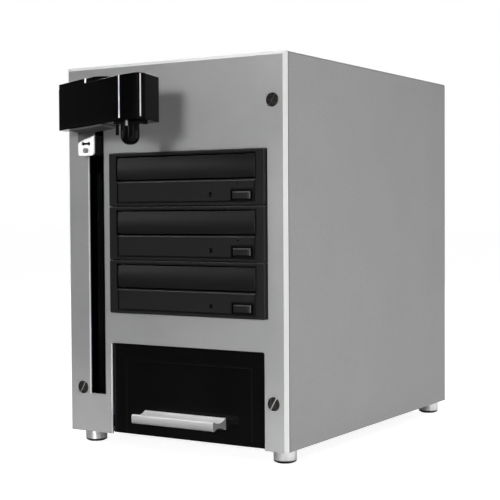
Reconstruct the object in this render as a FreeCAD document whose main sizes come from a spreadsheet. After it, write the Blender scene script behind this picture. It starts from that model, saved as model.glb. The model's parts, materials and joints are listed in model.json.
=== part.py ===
"""Disc duplicator autoloader: a cabinet with three disc drives, a drawer and a lifting gripper arm.

Lengths are millimetres. Pieces are drawn from the cabinet's lower left front corner, with X to the
right, Y into the cabinet and Z up, and then stood on the floor, centred on their common footprint.
"""
import FreeCAD
import Part
import Sketcher
import os

# Driving dimensions
SIZES = {
    # cabinet, from left to right, from the underside up and from front to back
    "slot_side": 22,
    "slot_w": 16.5,
    "slot_to_drive": 8,
    "drive_w": 147,
    "drive_to_edge": 16.5,
    "drawer_h": 74.5,
    "drawer_to_drive": 25,
    "drive_pitch": 43,
    "head_room": 71.5,
    "drive_depth": 170,
    "rear_bay": 127,
    # front panel
    "panel_t": 3,
    "panel_bevel": 2.5,
    "panel_seam": 0.3,
    "slot_bottom": 31.4,
    "slot_top_margin": 44,
    "window_gap": 0.4,
    "drawer_left": 2.3,
    "drawer_right": 2.9,
    "gate_round": 1.5,
    # sheet metal
    "cover_t": 1.2,
    "cover_bend": 2,
    "flange_w": 12,
    "base_t": 1.5,
    "base_lip": 12,
    "rear_t": 1.2,
    "sheet_fit": 0.3,
    # panel screws and their angle brackets
    "screw_left": 14.4,
    "screw_right": 11.8,
    "screw_level": 36,
    "screw_r": 2.5,
    "screw_gap": 0.3,
    "screw_web": 1,
    "screw_head_r": 5.2,
    "screw_head_h": 2.5,
    "screw_round": 0.4,
    "screw_slot_w": 1.2,
    "screw_slot_d": 1.3,
    "screw_slot_angle": 60,
    "screw_reach": 5,
    "bracket_t": 1.5,
    "bracket_w": 17.5,
    "bracket_h": 24,
    "bracket_d": 15,
    # rear screws
    "rear_screw_r": 1.5,
    "rear_screw_head_r": 3.2,
    "rear_screw_head_h": 1.8,
    "rear_screw_reach": 3,
    "rear_screw_level": 40,
    # feet
    "foot_r": 8.9,
    "foot_h": 10.3,
    "foot_bevel": 0.8,
    "foot_inset": 13,
    "foot_front": 19,
    "foot_rear": 10,
    "pad_r": 6.6,
    "pad_h": 0.7,
    # drive cage
    "cage_t": 1.2,
    "cage_front": 8,
    "cage_over": 10,
    "cage_foot": 8,
    "cage_fit": 0.2,
    "stud_r": 2.5,
    "stud_h": 6,
    # drives
    "bezel_gap": 0.4,
    "bezel_proud": 4,
    "bezel_back": 2,
    "case_side": 0.5,
    "case_wall": 1,
    "case_low": 0.4,
    "door_side": 8.5,
    "door_h": 17.9,
    "door_t": 3.5,
    "door_top": 3.8,
    "door_gap": 0.8,
    "door_bulge": 0.9,
    "door_round": 1,
    "door_edge": 0.35,
    "bezel_round": 1.4,
    "bezel_edge": 0.6,
    "lower_bottom": 2.8,
    "lower_step": 1.3,
    "lower_sunk": 0.5,
    "groove_w": 0.7,
    "groove_d": 1.2,
    "button_in": 11.7,
    "button_z": 7.5,
    "button_w": 16,
    "button_h": 5.6,
    "button_gap": 0.3,
    "button_proud": 0.6,
    "button_well": 1.2,
    "button_well_d": 1.8,
    "button_flange": 1.2,
    "button_travel": 1,
    "led_in": 40,
    "led_z": 8.4,
    "led_w": 2.6,
    "led_h": 3.6,
    "led_sunk": 1.2,
    "pinhole_in": 15.5,
    "pinhole_drop": 2.6,
    "pinhole_r": 0.7,
    # disc trays
    "tray_side": 2,
    "tray_t": 6,
    "tray_low": 3,
    "tray_behind": 12,
    "tray_fit": 0.3,
    "tray_rail_t": 2,
    "tray_rail_w": 12,
    "disc_r": 60.5,
    "disc_sunk": 2.6,
    "disc_y": 69,
    "spindle_r": 19,
    "pickup_w": 26,
    # drawer
    "drawer_gap": 0.4,
    "drawer_low": 0.8,
    "drawer_recess": 3,
    "drawer_front_t": 5,
    "bin_side": 11.2,
    "bin_short": 2,
    "bin_low": 5,
    "bin_drop": 16,
    "bin_wall": 1.2,
    "bin_lip": 5,
    "bin_lip_t": 1.5,
    "bin_lip_drop": 8.5,
    "rail_wrap": 3,
    "rail_fit": 0.3,
    "handle_left": 32.3,
    "handle_w": 77,
    "handle_z": 16.9,
    "handle_reach": 18.5,
    "handle_back_h": 8.8,
    "handle_lip_h": 7,
    "handle_land": 1.6,
    "handle_scoop": 2.2,
    "handle_round": 1.2,
    # lift
    "column_gap": 2,
    "column_front": 22,
    "column_depth": 42,
    "column_t": 2.5,
    "column_lip": 8,
    "column_top_gap": 14,
    "rod_r": 3,
    "rod_spread": 20,
    "rod_y": 34,
    "run_fit": 0.05,
    "pulley_r": 8,
    "pulley_teeth": 18,
    "tooth_d": 0.7,
    "pulley_flange": 1.4,
    "flange_t": 1,
    "belt_t": 1.3,
    "belt_w": 6,
    "belt_clear": 0.4,
    "belt_back": 1.5,
    "motor_z": 28,
    "motor_w": 35.2,
    "motor_d": 34,
    "motor_corner": 4,
    "motor_boss_r": 11,
    "shaft_r": 2.5,
    "shaft_in": 14,
    "idler_drop": 14,
    # carriage
    "carriage_margin": 8,
    "carriage_drop": 31.8,
    "carriage_h": 40,
    "carriage_d": 18,
    "bush_r": 6,
    "bush_t": 14,
    "neck_gap": 1.5,
    "neck_drop": 19.8,
    "neck_h": 16,
    "clamp_w": 9,
    "clamp_h": 18,
    # arm
    "arm_drop": 53.2,
    "arm_h": 33.2,
    "arm_base_t": 2,
    "arm_wall": 2,
    "arm_left_out": 9,
    "arm_left_y": 25,
    "arm_end_out": 12.5,
    "arm_end_y": 12,
    "arm_seam_left": 0.7,
    "arm_seam_ahead": 11.3,
    "nose_right": 24,
    "nose_ahead": 18.5,
    "nose_back_right": 12,
    "nose_back_behind": 20,
    "nose_round": 5,
    "nose_back_round": 3,
    "arm_round": 0.6,
    "arm_seam_gap": 0.5,
    "seam_round": 0.8,
    "seam_share": 0.78,
    "lid_h": 3.8,
    "lid_share": 0.46,
    "lid_end_share": 0.67,
    "lid_set": 1.6,
    "lid_step_round": 1.1,
    "lid_back_share": 0.62,
    "lid_round": 9,
    # arm bracket
    "plate_t": 1.5,
    "plate_w": 16.2,
    "plate_y": 12.6,
    "plate_h": 18.7,
    "plate_round": 2.5,
    "plate_flange_from": 0.19,
    "plate_flange_to": 0.71,
    "plate_flange_back": 0.55,
    "plate_flange_set": 1,
    "plate_hole_r": 1.5,
    "plate_hole_drop": 10.6,
    "plate_hole_gap": 6.2,
    "plate_hole_slit": 1.5,
    "plate_screw_drop": 16,
    "arm_screw_r": 1,
    "arm_screw_head_r": 2.1,
    "arm_screw_head_h": 1.4,
    # gripper
    "grip_y": 71,
    "hub_r": 6.9,
    "hub_h": 17,
    "hub_round": 6.2,
    "hub_nose": 2,
    "hub_bore_r": 2.6,
    "hub_flange_t": 2.2,
    "hub_flange_left": 10.3,
    "hub_flange_right": 11.5,
    "hub_flange_d": 12,
    "finger_w": 3.6,
    "finger_h": 5.4,
    "finger_in": 2.9,
    "finger_out": 6.3,
    "finger_fit": 0.3,
    "finger_low": 4.8,
    "finger_round": 0.6,
    "plunger_r": 2.2,
    "plunger_tip_r": 1,
    "plunger_cone": 5,
    "plunger_low": 5.5,
    "plunger_h": 24,
    "solenoid_r": 8,
    "solenoid_h": 24,
    "sensor_left": 14.8,
    "sensor_behind": 3.8,
    "sensor_r": 1.2,
    "sensor_drop": 9.4,
    "sensor_up": 6,
    "grip_screw_right": 2.9,
    "grip_screw_ahead": 7.9,
    "grip_screw_drop": 3.5,
    # power supply, controller and fan
    "supply_side": 30,
    "supply_rear": 24,
    "supply_w": 110,
    "supply_d": 80,
    "supply_h": 50,
    "supply_wall": 1,
    "vent_w": 4,
    "vent_pitch": 9,
    "vent_margin": 12,
    "board_side": 15.2,
    "board_back": 50,
    "board_w": 118,
    "board_d": 92,
    "board_t": 1.6,
    "board_inset": 5,
    "fan_side": 70,
    "fan_drop": 110,
    "fan_w": 80,
    "fan_d": 25,
    "fan_bore": 38,
    "fan_corner": 5,
    "fan_hub_r": 15,
    "fan_hub_d": 4,
    "fan_strut": 4,
    "blade_r": 36.5,
    "blade_t": 1.4,
    "blade_rise": 9,
    "blade_d": 15,
    "blade_count": 7,
    "fan_axle_r": 1.5,
    # rear sockets and switch
    "inlet_side": 40,
    "inlet_z": 38,
    "inlet_w": 31,
    "inlet_h": 24,
    "inlet_flange_t": 2.4,
    "inlet_body_w": 27,
    "inlet_body_h": 20,
    "inlet_depth": 16,
    "socket_w": 24,
    "socket_h": 16.4,
    "socket_corner": 4,
    "socket_depth": 15,
    "pin_w": 2,
    "pin_h": 4.4,
    "pin_sunk": 4.6,
    "pin_spread": 7,
    "pin_rise": 2,
    "switch_pitch": 36,
    "switch_w": 15,
    "switch_h": 21,
    "switch_rim": 1.6,
    "switch_depth": 14,
    "switch_wall": 1.4,
    "rocker_angle": 9,
    "rocker_r": 9,
    "rocker_gap": 0.7,
    "rocker_pin_r": 1.2,
    "usb_pitch": 32,
    "usb_w": 12,
    "usb_h": 11,
    "usb_proud": 1,
    "usb_depth": 16,
    "usb_wall": 1.6,
    "usb_tongue_w": 5.6,
    "usb_tongue_h": 3.2,
    "usb_tongue_sunk": 1,
}

DRIVE_COUNT = 3
FINGER_COUNT = 3

doc = FreeCAD.newDocument("disc_autoloader")
dim = doc.addObject("Spreadsheet::Sheet", "dim")
for row, (alias, number) in enumerate(SIZES.items(), start=1):
    dim.set(f"A{row}", alias)
    dim.set(f"B{row}", str(number))
    dim.setAlias(f"B{row}", alias)
doc.recompute()

# Places that several pieces share, as formulas of the driving dimensions
SLOT_X0 = "dim.slot_side"
SLOT_X1 = f"({SLOT_X0} + dim.slot_w)"
DRIVE_X0 = f"({SLOT_X1} + dim.slot_to_drive)"
DRIVE_X1 = f"({DRIVE_X0} + dim.drive_w)"
WIDE = f"({DRIVE_X1} + dim.drive_to_edge)"
DRIVES_Z0 = "(dim.drawer_h + dim.drawer_to_drive)"
DRIVES_Z1 = f"({DRIVES_Z0} + {DRIVE_COUNT} * dim.drive_pitch)"
TALL = f"({DRIVES_Z1} + dim.head_room)"
DEEP = "(dim.panel_t + dim.drive_depth + dim.rear_bay)"
SLOT_Z1 = f"({TALL} - dim.slot_top_margin)"
REAR_Y = f"({DEEP} - dim.cover_t)"
STAND = "(dim.foot_h + dim.pad_h)"
NOSE_REACH = "(dim.grip_y + dim.nose_ahead)"
FRONT = f"(({NOSE_REACH} - {DEEP} - dim.rear_screw_head_h) / 2)"
DRAWER_X0 = f"({DRIVE_X0} - dim.drawer_left)"
DRAWER_X1 = f"({DRIVE_X1} - dim.drawer_right)"
BEZEL_H = "(dim.drive_pitch - dim.bezel_gap)"
DOOR_X0 = "dim.door_side"
DOOR_X1 = "(dim.drive_w - dim.door_side)"
DOOR_Z0 = f"({BEZEL_H} - dim.door_top - dim.door_h)"
LOWER_Z1 = f"({DOOR_Z0} - dim.door_gap - dim.lower_step)"
BUTTON_X = f"({DOOR_X1} - dim.button_in)"
LED_X = f"({DOOR_X1} - dim.led_in)"
TRAY_Z0 = f"({DOOR_Z0} + dim.tray_low)"
CAGE_IN0 = f"({DRIVE_X0} + dim.case_side - dim.cage_fit)"
CAGE_IN1 = f"({DRIVE_X1} - dim.case_side + dim.cage_fit)"
CAGE_Y0 = "(dim.panel_t + dim.cage_front)"
CAGE_DEPTH = f"(dim.drive_depth - {CAGE_Y0} + dim.cage_over)"
CAGE_SHELF = f"({DRIVES_Z0} - dim.cage_fit)"
CAGE_TOP = f"({DRIVES_Z1} + dim.cage_fit + dim.cage_t)"
DRAWER_BACK = "(dim.drawer_recess + dim.drawer_front_t)"
BIN_X0 = f"({DRAWER_X0} + dim.bin_side)"
BIN_X1 = f"({DRAWER_X1} - dim.bin_side)"
BIN_Z1 = "(dim.drawer_h - dim.bin_drop)"
BIN_D = "(dim.drive_depth - dim.bin_short)"
LIP_Z0 = f"({BIN_Z1} - dim.bin_lip_drop)"
COLUMN_X0 = "(dim.cover_t + dim.column_gap)"
COLUMN_X1 = f"({CAGE_IN0} - dim.cage_t - dim.column_gap)"
LIFT_X = f"(({COLUMN_X0} + {COLUMN_X1}) / 2)"
COLUMN_Y1 = "(dim.column_front + dim.column_depth)"
COLUMN_Z1 = f"({TALL} - dim.column_top_gap)"
IDLER_Z = f"({COLUMN_Z1} - dim.idler_drop)"
BELT_Y1 = f"({COLUMN_Y1} - dim.column_t - dim.belt_back)"
BELT_Y0 = f"({BELT_Y1} - dim.belt_w)"
ROD_XS = (f"({LIFT_X} - dim.rod_spread / 2)", f"({LIFT_X} + dim.rod_spread / 2)")
ARM_Z0 = f"({TALL} - dim.arm_drop)"
ARM_Z1 = f"({ARM_Z0} + dim.arm_h)"
SHELL_Z0 = f"({ARM_Z0} + dim.arm_base_t)"
CARRIAGE_Z0 = f"({ARM_Z0} - dim.carriage_drop)"
NECK_Z0 = f"({ARM_Z0} - dim.neck_drop)"
GRIP_X = f"({DRIVE_X0} + dim.drive_w / 2)"
PLATE_X0 = f"({SLOT_X0} + (dim.slot_w - dim.plate_w) / 2)"
INLET_X = f"({WIDE} - dim.inlet_side)"
SWITCH_X = f"({INLET_X} - dim.switch_pitch)"
USB_X = f"({SWITCH_X} - dim.usb_pitch)"
FAN_X = f"({WIDE} - dim.fan_side)"
FAN_Z = f"({TALL} - dim.fan_drop)"
SUPPLY_X = f"({WIDE} - dim.supply_side - dim.supply_w)"
SUPPLY_Y = f"({DEEP} - dim.supply_rear - dim.supply_d)"
BOARD_X = f"({CAGE_IN0} + dim.board_side)"
BOARD_Y = f"({CAGE_Y0} + dim.board_back)"
SCREWS = [
    (x, z)
    for x in ("dim.screw_left", f"({WIDE} - dim.screw_right)")
    for z in ("dim.screw_level", f"({TALL} - dim.screw_level)")
]
REAR_SCREWS = [
    (x, z)
    for x in ("(dim.cover_t + dim.flange_w / 2)", f"({WIDE} - dim.cover_t - dim.flange_w / 2)")
    for z in ("dim.rear_screw_level", f"({TALL} / 2)", f"({TALL} - dim.rear_screw_level)")
]
FEET = [
    (x, y)
    for x in ("dim.foot_inset", f"({WIDE} - dim.foot_inset)")
    for y in ("dim.foot_front", f"({DEEP} - dim.foot_rear)")
]

# The three planes of a piece: seen from above, from the front and from the right
TOP = "XY_Plane"
FACE = "XZ_Plane"
SIDE = "YZ_Plane"

pieces = []


def size(formula):
    """The value of a formula of the driving dimensions."""
    return float(dim.evalExpression(formula))


def body(label, x="0", y="0", z="0"):
    """A new piece whose own origin is at x, y, z from the cabinet's lower left front corner."""
    piece = doc.addObject("PartDesign::Body", label)
    piece.Label = label
    piece.setExpression("Placement.Base.x", f"{x} - {WIDE} / 2")
    piece.setExpression("Placement.Base.y", f"{y} + {FRONT}")
    piece.setExpression("Placement.Base.z", f"{z} + {STAND}")
    pieces.append(piece)
    return piece


def rect(x0, y0, x1, y1):
    """A rectangle between two corners."""
    return [(x0, y0), (x1, y0), (x1, y1), (x0, y1)]


def around(x, y, width, height):
    """A rectangle about its centre."""
    return rect(
        f"{x} - ({width}) / 2", f"{y} - ({height}) / 2", f"{x} + ({width}) / 2", f"{y} + ({height}) / 2"
    )


def tilted(x, y, length, width, angle):
    """A rectangle about its centre, turned by an angle in degrees."""
    corners = []
    for along, across in ((-1, -1), (1, -1), (1, 1), (-1, 1)):
        a = f"({along} * ({length}) / 2)"
        b = f"({across} * ({width}) / 2)"
        corners.append((f"{x} + {a} * cos({angle}) - {b} * sin({angle})",
                        f"{y} + {a} * sin({angle}) + {b} * cos({angle})"))
    return corners


def circle(x, y, radius):
    """A circle about a centre."""
    return (x, y, radius)


class Stadium:
    """Two half circles, one above the other, joined by straight sides."""

    def __init__(self, x, low, high, radius):
        self.x = x
        self.low = low
        self.high = high
        self.radius = radius


class Bulge:
    """A flat back, level top and bottom, and a front that swells out to the left."""

    def __init__(self, back, edge, swell, low, high):
        self.back = back
        self.edge = edge
        self.swell = swell
        self.low = low
        self.high = high


def pin_point(flat, geometry, spot, x, y):
    """Hold one point of a sketch at two formulas."""
    for kind, formula in (("DistanceX", x), ("DistanceY", y)):
        number = flat.addConstraint(Sketcher.Constraint(kind, -1, 1, geometry, spot, size(formula)))
        flat.setExpression(f"Constraints[{number}]", formula)


def hold_radius(flat, geometry, formula):
    """Hold the radius of a circle or an arc at a formula."""
    number = flat.addConstraint(Sketcher.Constraint("Radius", geometry, size(formula)))
    flat.setExpression(f"Constraints[{number}]", formula)


def draw_polygon(flat, corners):
    """A closed polygon whose corners are pairs of formulas."""
    spots = [FreeCAD.Vector(size(x), size(y), 0) for x, y in corners]
    first = flat.GeometryCount
    flat.addGeometry([Part.LineSegment(a, b) for a, b in zip(spots, spots[1:] + spots[:1])])
    for index, (x, y) in enumerate(corners):
        after = (index + 1) % len(corners)
        flat.addConstraint(Sketcher.Constraint("Coincident", first + index, 2, first + after, 1))
        pin_point(flat, first + index, 1, x, y)


def draw_circle(flat, x, y, radius):
    """A circle whose centre and radius are formulas."""
    centre = FreeCAD.Vector(size(x), size(y), 0)
    number = flat.addGeometry(Part.Circle(centre, FreeCAD.Vector(0, 0, 1), size(radius)))
    pin_point(flat, number, 3, x, y)
    hold_radius(flat, number, radius)


def draw_stadium(flat, shape):
    """Two arcs and two lines, tangent where they meet."""
    x, low, high = size(shape.x), size(shape.low), size(shape.high)
    r = size(shape.radius)
    normal = FreeCAD.Vector(0, 0, 1)
    half_turn = 3.141592653589793
    upper = Part.ArcOfCircle(Part.Circle(FreeCAD.Vector(x, high, 0), normal, r), 0, half_turn)
    lower = Part.ArcOfCircle(Part.Circle(FreeCAD.Vector(x, low, 0), normal, r), half_turn, 2 * half_turn)
    left = Part.LineSegment(FreeCAD.Vector(x - r, high, 0), FreeCAD.Vector(x - r, low, 0))
    right = Part.LineSegment(FreeCAD.Vector(x + r, low, 0), FreeCAD.Vector(x + r, high, 0))
    arc_up, side_left, arc_down, side_right = flat.addGeometry([upper, left, lower, right])
    pin_point(flat, arc_up, 3, shape.x, shape.high)
    pin_point(flat, arc_down, 3, shape.x, shape.low)
    hold_radius(flat, arc_up, shape.radius)
    flat.addConstraint(Sketcher.Constraint("Tangent", arc_up, 2, side_left, 1))
    flat.addConstraint(Sketcher.Constraint("Tangent", side_left, 2, arc_down, 1))
    flat.addConstraint(Sketcher.Constraint("Tangent", arc_down, 2, side_right, 1))
    flat.addConstraint(Sketcher.Constraint("Tangent", side_right, 2, arc_up, 1))


def draw_bulge(flat, shape):
    """Three lines closed by one arc of the radius that the swell needs."""
    back, edge, swell = size(shape.back), size(shape.edge), size(shape.swell)
    low, high = size(shape.low), size(shape.high)
    corners = [FreeCAD.Vector(x, y, 0) for x, y in ((edge, low), (back, low), (back, high), (edge, high))]
    crest = FreeCAD.Vector(edge - swell, (low + high) / 2, 0)
    lines = [Part.LineSegment(a, b) for a, b in zip(corners, corners[1:])]
    bottom, rear, top, front = flat.addGeometry(lines + [Part.Arc(corners[3], crest, corners[0])])
    pin_point(flat, bottom, 1, shape.edge, shape.low)
    pin_point(flat, rear, 1, shape.back, shape.low)
    pin_point(flat, top, 1, shape.back, shape.high)
    pin_point(flat, top, 2, shape.edge, shape.high)
    flat.addConstraint(Sketcher.Constraint("Coincident", bottom, 2, rear, 1))
    flat.addConstraint(Sketcher.Constraint("Coincident", rear, 2, top, 1))
    for spot in (1, 2):
        point = flat.getPoint(front, spot)
        end, which = (top, 2) if point.y > (low + high) / 2 else (bottom, 1)
        flat.addConstraint(Sketcher.Constraint("Coincident", front, spot, end, which))
    half = f"(({shape.high} - ({shape.low})) / 2)"
    hold_radius(flat, front, f"({half}^2 + ({shape.swell})^2) / (2 * ({shape.swell}))")


def sketch(piece, plane, at, shapes):
    """A sketch on one of the piece's planes, moved to a distance along +Z, +Y or +X."""
    flat = piece.newObject("Sketcher::SketchObject", f"{piece.Name}_sketch")
    base = next(feature for feature in piece.Origin.OriginFeatures if feature.Role == plane)
    flat.AttachmentSupport = [(base, "")]
    flat.MapMode = "FlatFace"
    flat.setExpression("AttachmentOffset.Base.z", f"-({at})" if plane == FACE else at)
    for shape in shapes:
        if isinstance(shape, Stadium):
            draw_stadium(flat, shape)
        elif isinstance(shape, Bulge):
            draw_bulge(flat, shape)
        elif isinstance(shape, tuple):
            draw_circle(flat, *shape)
        else:
            draw_polygon(flat, shape)
    return flat


def pad(piece, plane, at, length, *shapes):
    """Material from a plane towards +Z, +Y or +X."""
    flat = sketch(piece, plane, at, shapes)
    feature = piece.newObject("PartDesign::Pad", f"{piece.Name}_pad")
    feature.Profile = flat
    feature.setExpression("Length", length)
    feature.Reversed = plane == FACE
    doc.recompute()
    return feature


def cut(piece, plane, at, length, *shapes):
    """A pocket from a plane towards +Z, +Y or +X, which has to take material away."""
    before = piece.Shape.Volume
    flat = sketch(piece, plane, at, shapes)
    feature = piece.newObject("PartDesign::Pocket", f"{piece.Name}_pocket")
    feature.Profile = flat
    feature.setExpression("Length", length)
    feature.Reversed = plane != FACE
    doc.recompute()
    if feature.Shape.Volume > before - 1e-6:
        raise RuntimeError(f"{piece.Label}: a pocket cut nothing")
    return feature


def turn(piece, *shapes):
    """A revolution about the piece's own Z axis of a profile drawn in X and Z."""
    flat = sketch(piece, FACE, "0", shapes)
    feature = piece.newObject("PartDesign::Revolution", f"{piece.Name}_turn")
    feature.Profile = flat
    feature.ReferenceAxis = (flat, ["V_Axis"])
    feature.Angle = 360
    doc.recompute()
    return feature


def repeat(piece, feature, axis, count):
    """Copies of a feature, evenly spaced around one of the piece's own axes."""
    pattern = piece.newObject("PartDesign::PolarPattern", f"{piece.Name}_pattern")
    pattern.Originals = [feature]
    around_axis = next(item for item in piece.Origin.OriginFeatures if item.Role == axis)
    pattern.Axis = (around_axis, [""])
    pattern.Angle = 360
    pattern.setExpression("Occurrences", count)
    piece.Tip = pattern
    doc.recompute()
    return pattern


def picked(piece, kind, test):
    """The names of the piece's edges or faces that pass a test."""
    items = getattr(piece.Tip.Shape, f"{kind}s")
    return [f"{kind}{number}" for number, item in enumerate(items, start=1) if test(item)]


def dress(piece, kind, prop, formula, test):
    """A fillet or a chamfer on the edges that pass a test."""
    names = picked(piece, "Edge", test)
    if not names:
        raise RuntimeError(f"{piece.Label}: no edge for a {kind}")
    base = piece.Tip
    feature = piece.newObject(f"PartDesign::{kind}", f"{piece.Name}_{kind}")
    feature.Base = (base, names)
    feature.setExpression(prop, formula)
    doc.recompute()
    return feature


def fillet(piece, radius, test):
    """Rounded edges."""
    return dress(piece, "Fillet", "Radius", radius, test)


def chamfer(piece, width, test):
    """Bevelled edges."""
    return dress(piece, "Chamfer", "Size", width, test)


def hollow(piece, wall, test):
    """A shell with walls inside the outline, open at the faces that pass a test."""
    base = piece.Tip
    feature = piece.newObject("PartDesign::Thickness", f"{piece.Name}_shell")
    feature.Base = (base, picked_faces(base, test))
    feature.setExpression("Value", wall)
    feature.Mode = 0
    feature.Join = 1
    feature.Reversed = True
    doc.recompute()
    return feature


def picked_faces(base, test):
    """The names of a feature's faces that pass a test."""
    return [f"Face{number}" for number, item in enumerate(base.Shape.Faces, start=1) if test(item)]


def close(a, b):
    """Are two lengths the same?"""
    return abs(a - b) < 1e-4


def middle(edge):
    """The point halfway along an edge."""
    return edge.valueAt((edge.FirstParameter + edge.LastParameter) / 2)


def along(edge, axis):
    """Is an edge straight and parallel to an axis, given as 0, 1 or 2?"""
    start, end = edge.Vertexes[0].Point, edge.Vertexes[-1].Point
    return all(close(start[other], end[other]) for other in range(3) if other != axis) and edge.Length > 1e-3


def level(edge, axis, value):
    """Does a whole edge lie at one height along an axis?"""
    return all(close(vertex.Point[axis], value) for vertex in edge.Vertexes) and close(
        middle(edge)[axis], value
    )


def make_front_panel():
    """A thick plate with a bevelled front rim, the arm's slot, the drive window and the drawer gate."""
    panel = body("front_panel")
    gate = [
        ("0", "0"),
        (DRAWER_X0, "0"),
        (DRAWER_X0, "dim.drawer_h"),
        (DRAWER_X1, "dim.drawer_h"),
        (DRAWER_X1, "0"),
        (WIDE, "0"),
        (WIDE, TALL),
        ("0", TALL),
    ]
    slot = rect(SLOT_X0, "dim.slot_bottom", SLOT_X1, SLOT_Z1)
    window = rect(
        f"{DRIVE_X0} - dim.window_gap",
        f"{DRIVES_Z0} - dim.window_gap",
        f"{DRIVE_X1} + dim.window_gap",
        f"{DRIVES_Z1} - dim.bezel_gap + dim.window_gap",
    )
    holes = [circle(x, z, "dim.screw_r + dim.screw_gap") for x, z in SCREWS]
    pad(panel, FACE, "0", "dim.panel_t", gate, slot, window, *holes)
    cut(panel, FACE, "0", "dim.panel_t - dim.screw_web",
        *[circle(x, z, "dim.screw_head_r + dim.screw_gap") for x, z in SCREWS])
    wide, tall = size(WIDE), size(TALL)

    def on_rim(edge):
        spot = middle(edge)
        return level(edge, 1, 0) and (close(spot.x, 0) or close(spot.x, wide) or close(spot.z, tall))

    chamfer(panel, "dim.panel_bevel", on_rim)
    gate_top, window_low = size("dim.drawer_h"), size(f"{DRIVES_Z0} - dim.window_gap")

    def on_corner(edge):
        height = middle(edge).z
        return along(edge, 1) and (close(height, gate_top) or close(height, window_low))

    fillet(panel, "dim.gate_round", on_corner)


def make_front_screws():
    """Four slotted screws that hold the front panel, their flat heads sunk in it."""
    screws = body("front_screws")
    seat = "(dim.panel_t - dim.screw_web)"
    pad(screws, FACE, f"{seat} - dim.screw_head_h", "dim.screw_head_h",
        *[circle(x, z, "dim.screw_head_r") for x, z in SCREWS])
    front = size(f"{seat} - dim.screw_head_h")
    chamfer(screws, "dim.screw_round", lambda edge: level(edge, 1, front))
    cut(screws, FACE, f"{seat} - dim.screw_head_h", "dim.screw_slot_d",
        *[tilted(x, z, "3 * dim.screw_head_r", "dim.screw_slot_w", "dim.screw_slot_angle")
          for x, z in SCREWS])
    pad(screws, FACE, seat, "dim.screw_web + dim.bracket_t + dim.screw_reach",
        *[circle(x, z, "dim.screw_r") for x, z in SCREWS])


def make_panel_brackets():
    """Four sheet angles that tie the front panel to the cover's sides."""
    brackets = body("panel_brackets")
    front_legs = []
    side_legs = []
    for x, z in SCREWS:
        low = f"{z} - dim.bracket_h / 2"
        high = f"{z} + dim.bracket_h / 2"
        if x == "dim.screw_left":
            side = "dim.cover_t"
            front_legs.append(rect(side, low, f"{side} + dim.bracket_w", high))
            side_legs.append(rect(side, low, f"{side} + dim.bracket_t", high))
        else:
            side = f"({WIDE} - dim.cover_t)"
            front_legs.append(rect(f"{side} - dim.bracket_w", low, side, high))
            side_legs.append(rect(f"{side} - dim.bracket_t", low, side, high))
    pad(brackets, FACE, "dim.panel_t", "dim.bracket_t", *front_legs)
    pad(brackets, FACE, "dim.panel_t", "dim.bracket_d", *side_legs)
    cut(brackets, FACE, "dim.panel_t", "dim.bracket_t", *[circle(x, z, "dim.screw_r") for x, z in SCREWS])


def make_wrap_cover():
    """The folded cover: two sides and a top, with a turned-in flange at the rear."""
    cover = body("wrap_cover")
    start = "dim.panel_t + dim.panel_seam"
    profile = [
        ("0", "0"),
        ("dim.cover_t", "0"),
        ("dim.cover_t", f"{TALL} - dim.cover_t"),
        (f"{WIDE} - dim.cover_t", f"{TALL} - dim.cover_t"),
        (f"{WIDE} - dim.cover_t", "0"),
        (WIDE, "0"),
        (WIDE, TALL),
        ("0", TALL),
    ]
    pad(cover, FACE, start, f"{DEEP} - ({start})", profile)
    tall = size(TALL)
    fillet(cover, "dim.cover_bend", lambda edge: along(edge, 1) and close(middle(edge).z, tall))
    inner = "(dim.cover_t + dim.flange_w)"
    flange = [
        ("dim.cover_t", "0"),
        (inner, "0"),
        (inner, f"{TALL} - {inner}"),
        (f"{WIDE} - {inner}", f"{TALL} - {inner}"),
        (f"{WIDE} - {inner}", "0"),
        (f"{WIDE} - dim.cover_t", "0"),
        (f"{WIDE} - dim.cover_t", f"{TALL} - dim.cover_t"),
        ("dim.cover_t", f"{TALL} - dim.cover_t"),
    ]
    pad(cover, FACE, REAR_Y, "dim.cover_t", flange)
    cut(cover, FACE, REAR_Y, "dim.cover_t",
        *[circle(x, z, "dim.rear_screw_r + dim.screw_gap") for x, z in REAR_SCREWS])


def make_base_plate():
    """The floor of the cabinet, with its two sides folded up."""
    base = body("base_plate")
    front = f"({DRAWER_BACK} + dim.base_t)"
    back = f"({REAR_Y} - dim.rear_t - dim.sheet_fit)"
    left = "dim.cover_t"
    right = f"({WIDE} - dim.cover_t)"
    lip = "(dim.base_t + dim.base_lip)"
    channel = [
        (left, "0"),
        (right, "0"),
        (right, lip),
        (f"{right} - dim.base_t", lip),
        (f"{right} - dim.base_t", "dim.base_t"),
        (f"{left} + dim.base_t", "dim.base_t"),
        (f"{left} + dim.base_t", lip),
        (left, lip),
    ]
    pad(base, FACE, front, f"{back} - {front}", channel)


def make_rear_panel():
    """The rear sheet with the fan's air slots and the cut-outs for inlet, switch and data socket."""
    rear = body("rear_panel")
    outline = rect(
        "dim.cover_t + dim.sheet_fit",
        "0",
        f"{WIDE} - dim.cover_t - dim.sheet_fit",
        f"{TALL} - dim.cover_t - dim.sheet_fit",
    )
    holes = [circle(x, z, "dim.rear_screw_r") for x, z in REAR_SCREWS]
    sockets = [
        around(INLET_X, "dim.inlet_z", "dim.inlet_body_w", "dim.inlet_body_h"),
        around(SWITCH_X, "dim.inlet_z", "dim.switch_w", "dim.switch_h"),
        around(USB_X, "dim.inlet_z", "dim.usb_w", "dim.usb_h"),
    ]
    slots = []
    rows = int(size("dim.fan_bore / (dim.vent_w * 2)"))
    for step in range(-rows, rows + 1):
        height = f"({step} * dim.vent_w * 2)"
        half = f"sqrt((dim.fan_bore - 1)^2 - {height}^2)"
        slots.append(around(FAN_X, f"{FAN_Z} + {height}", f"2 * {half}", "dim.vent_w"))
    pad(rear, FACE, f"{REAR_Y} - dim.rear_t", "dim.rear_t", outline, *holes, *sockets, *slots)


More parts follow.
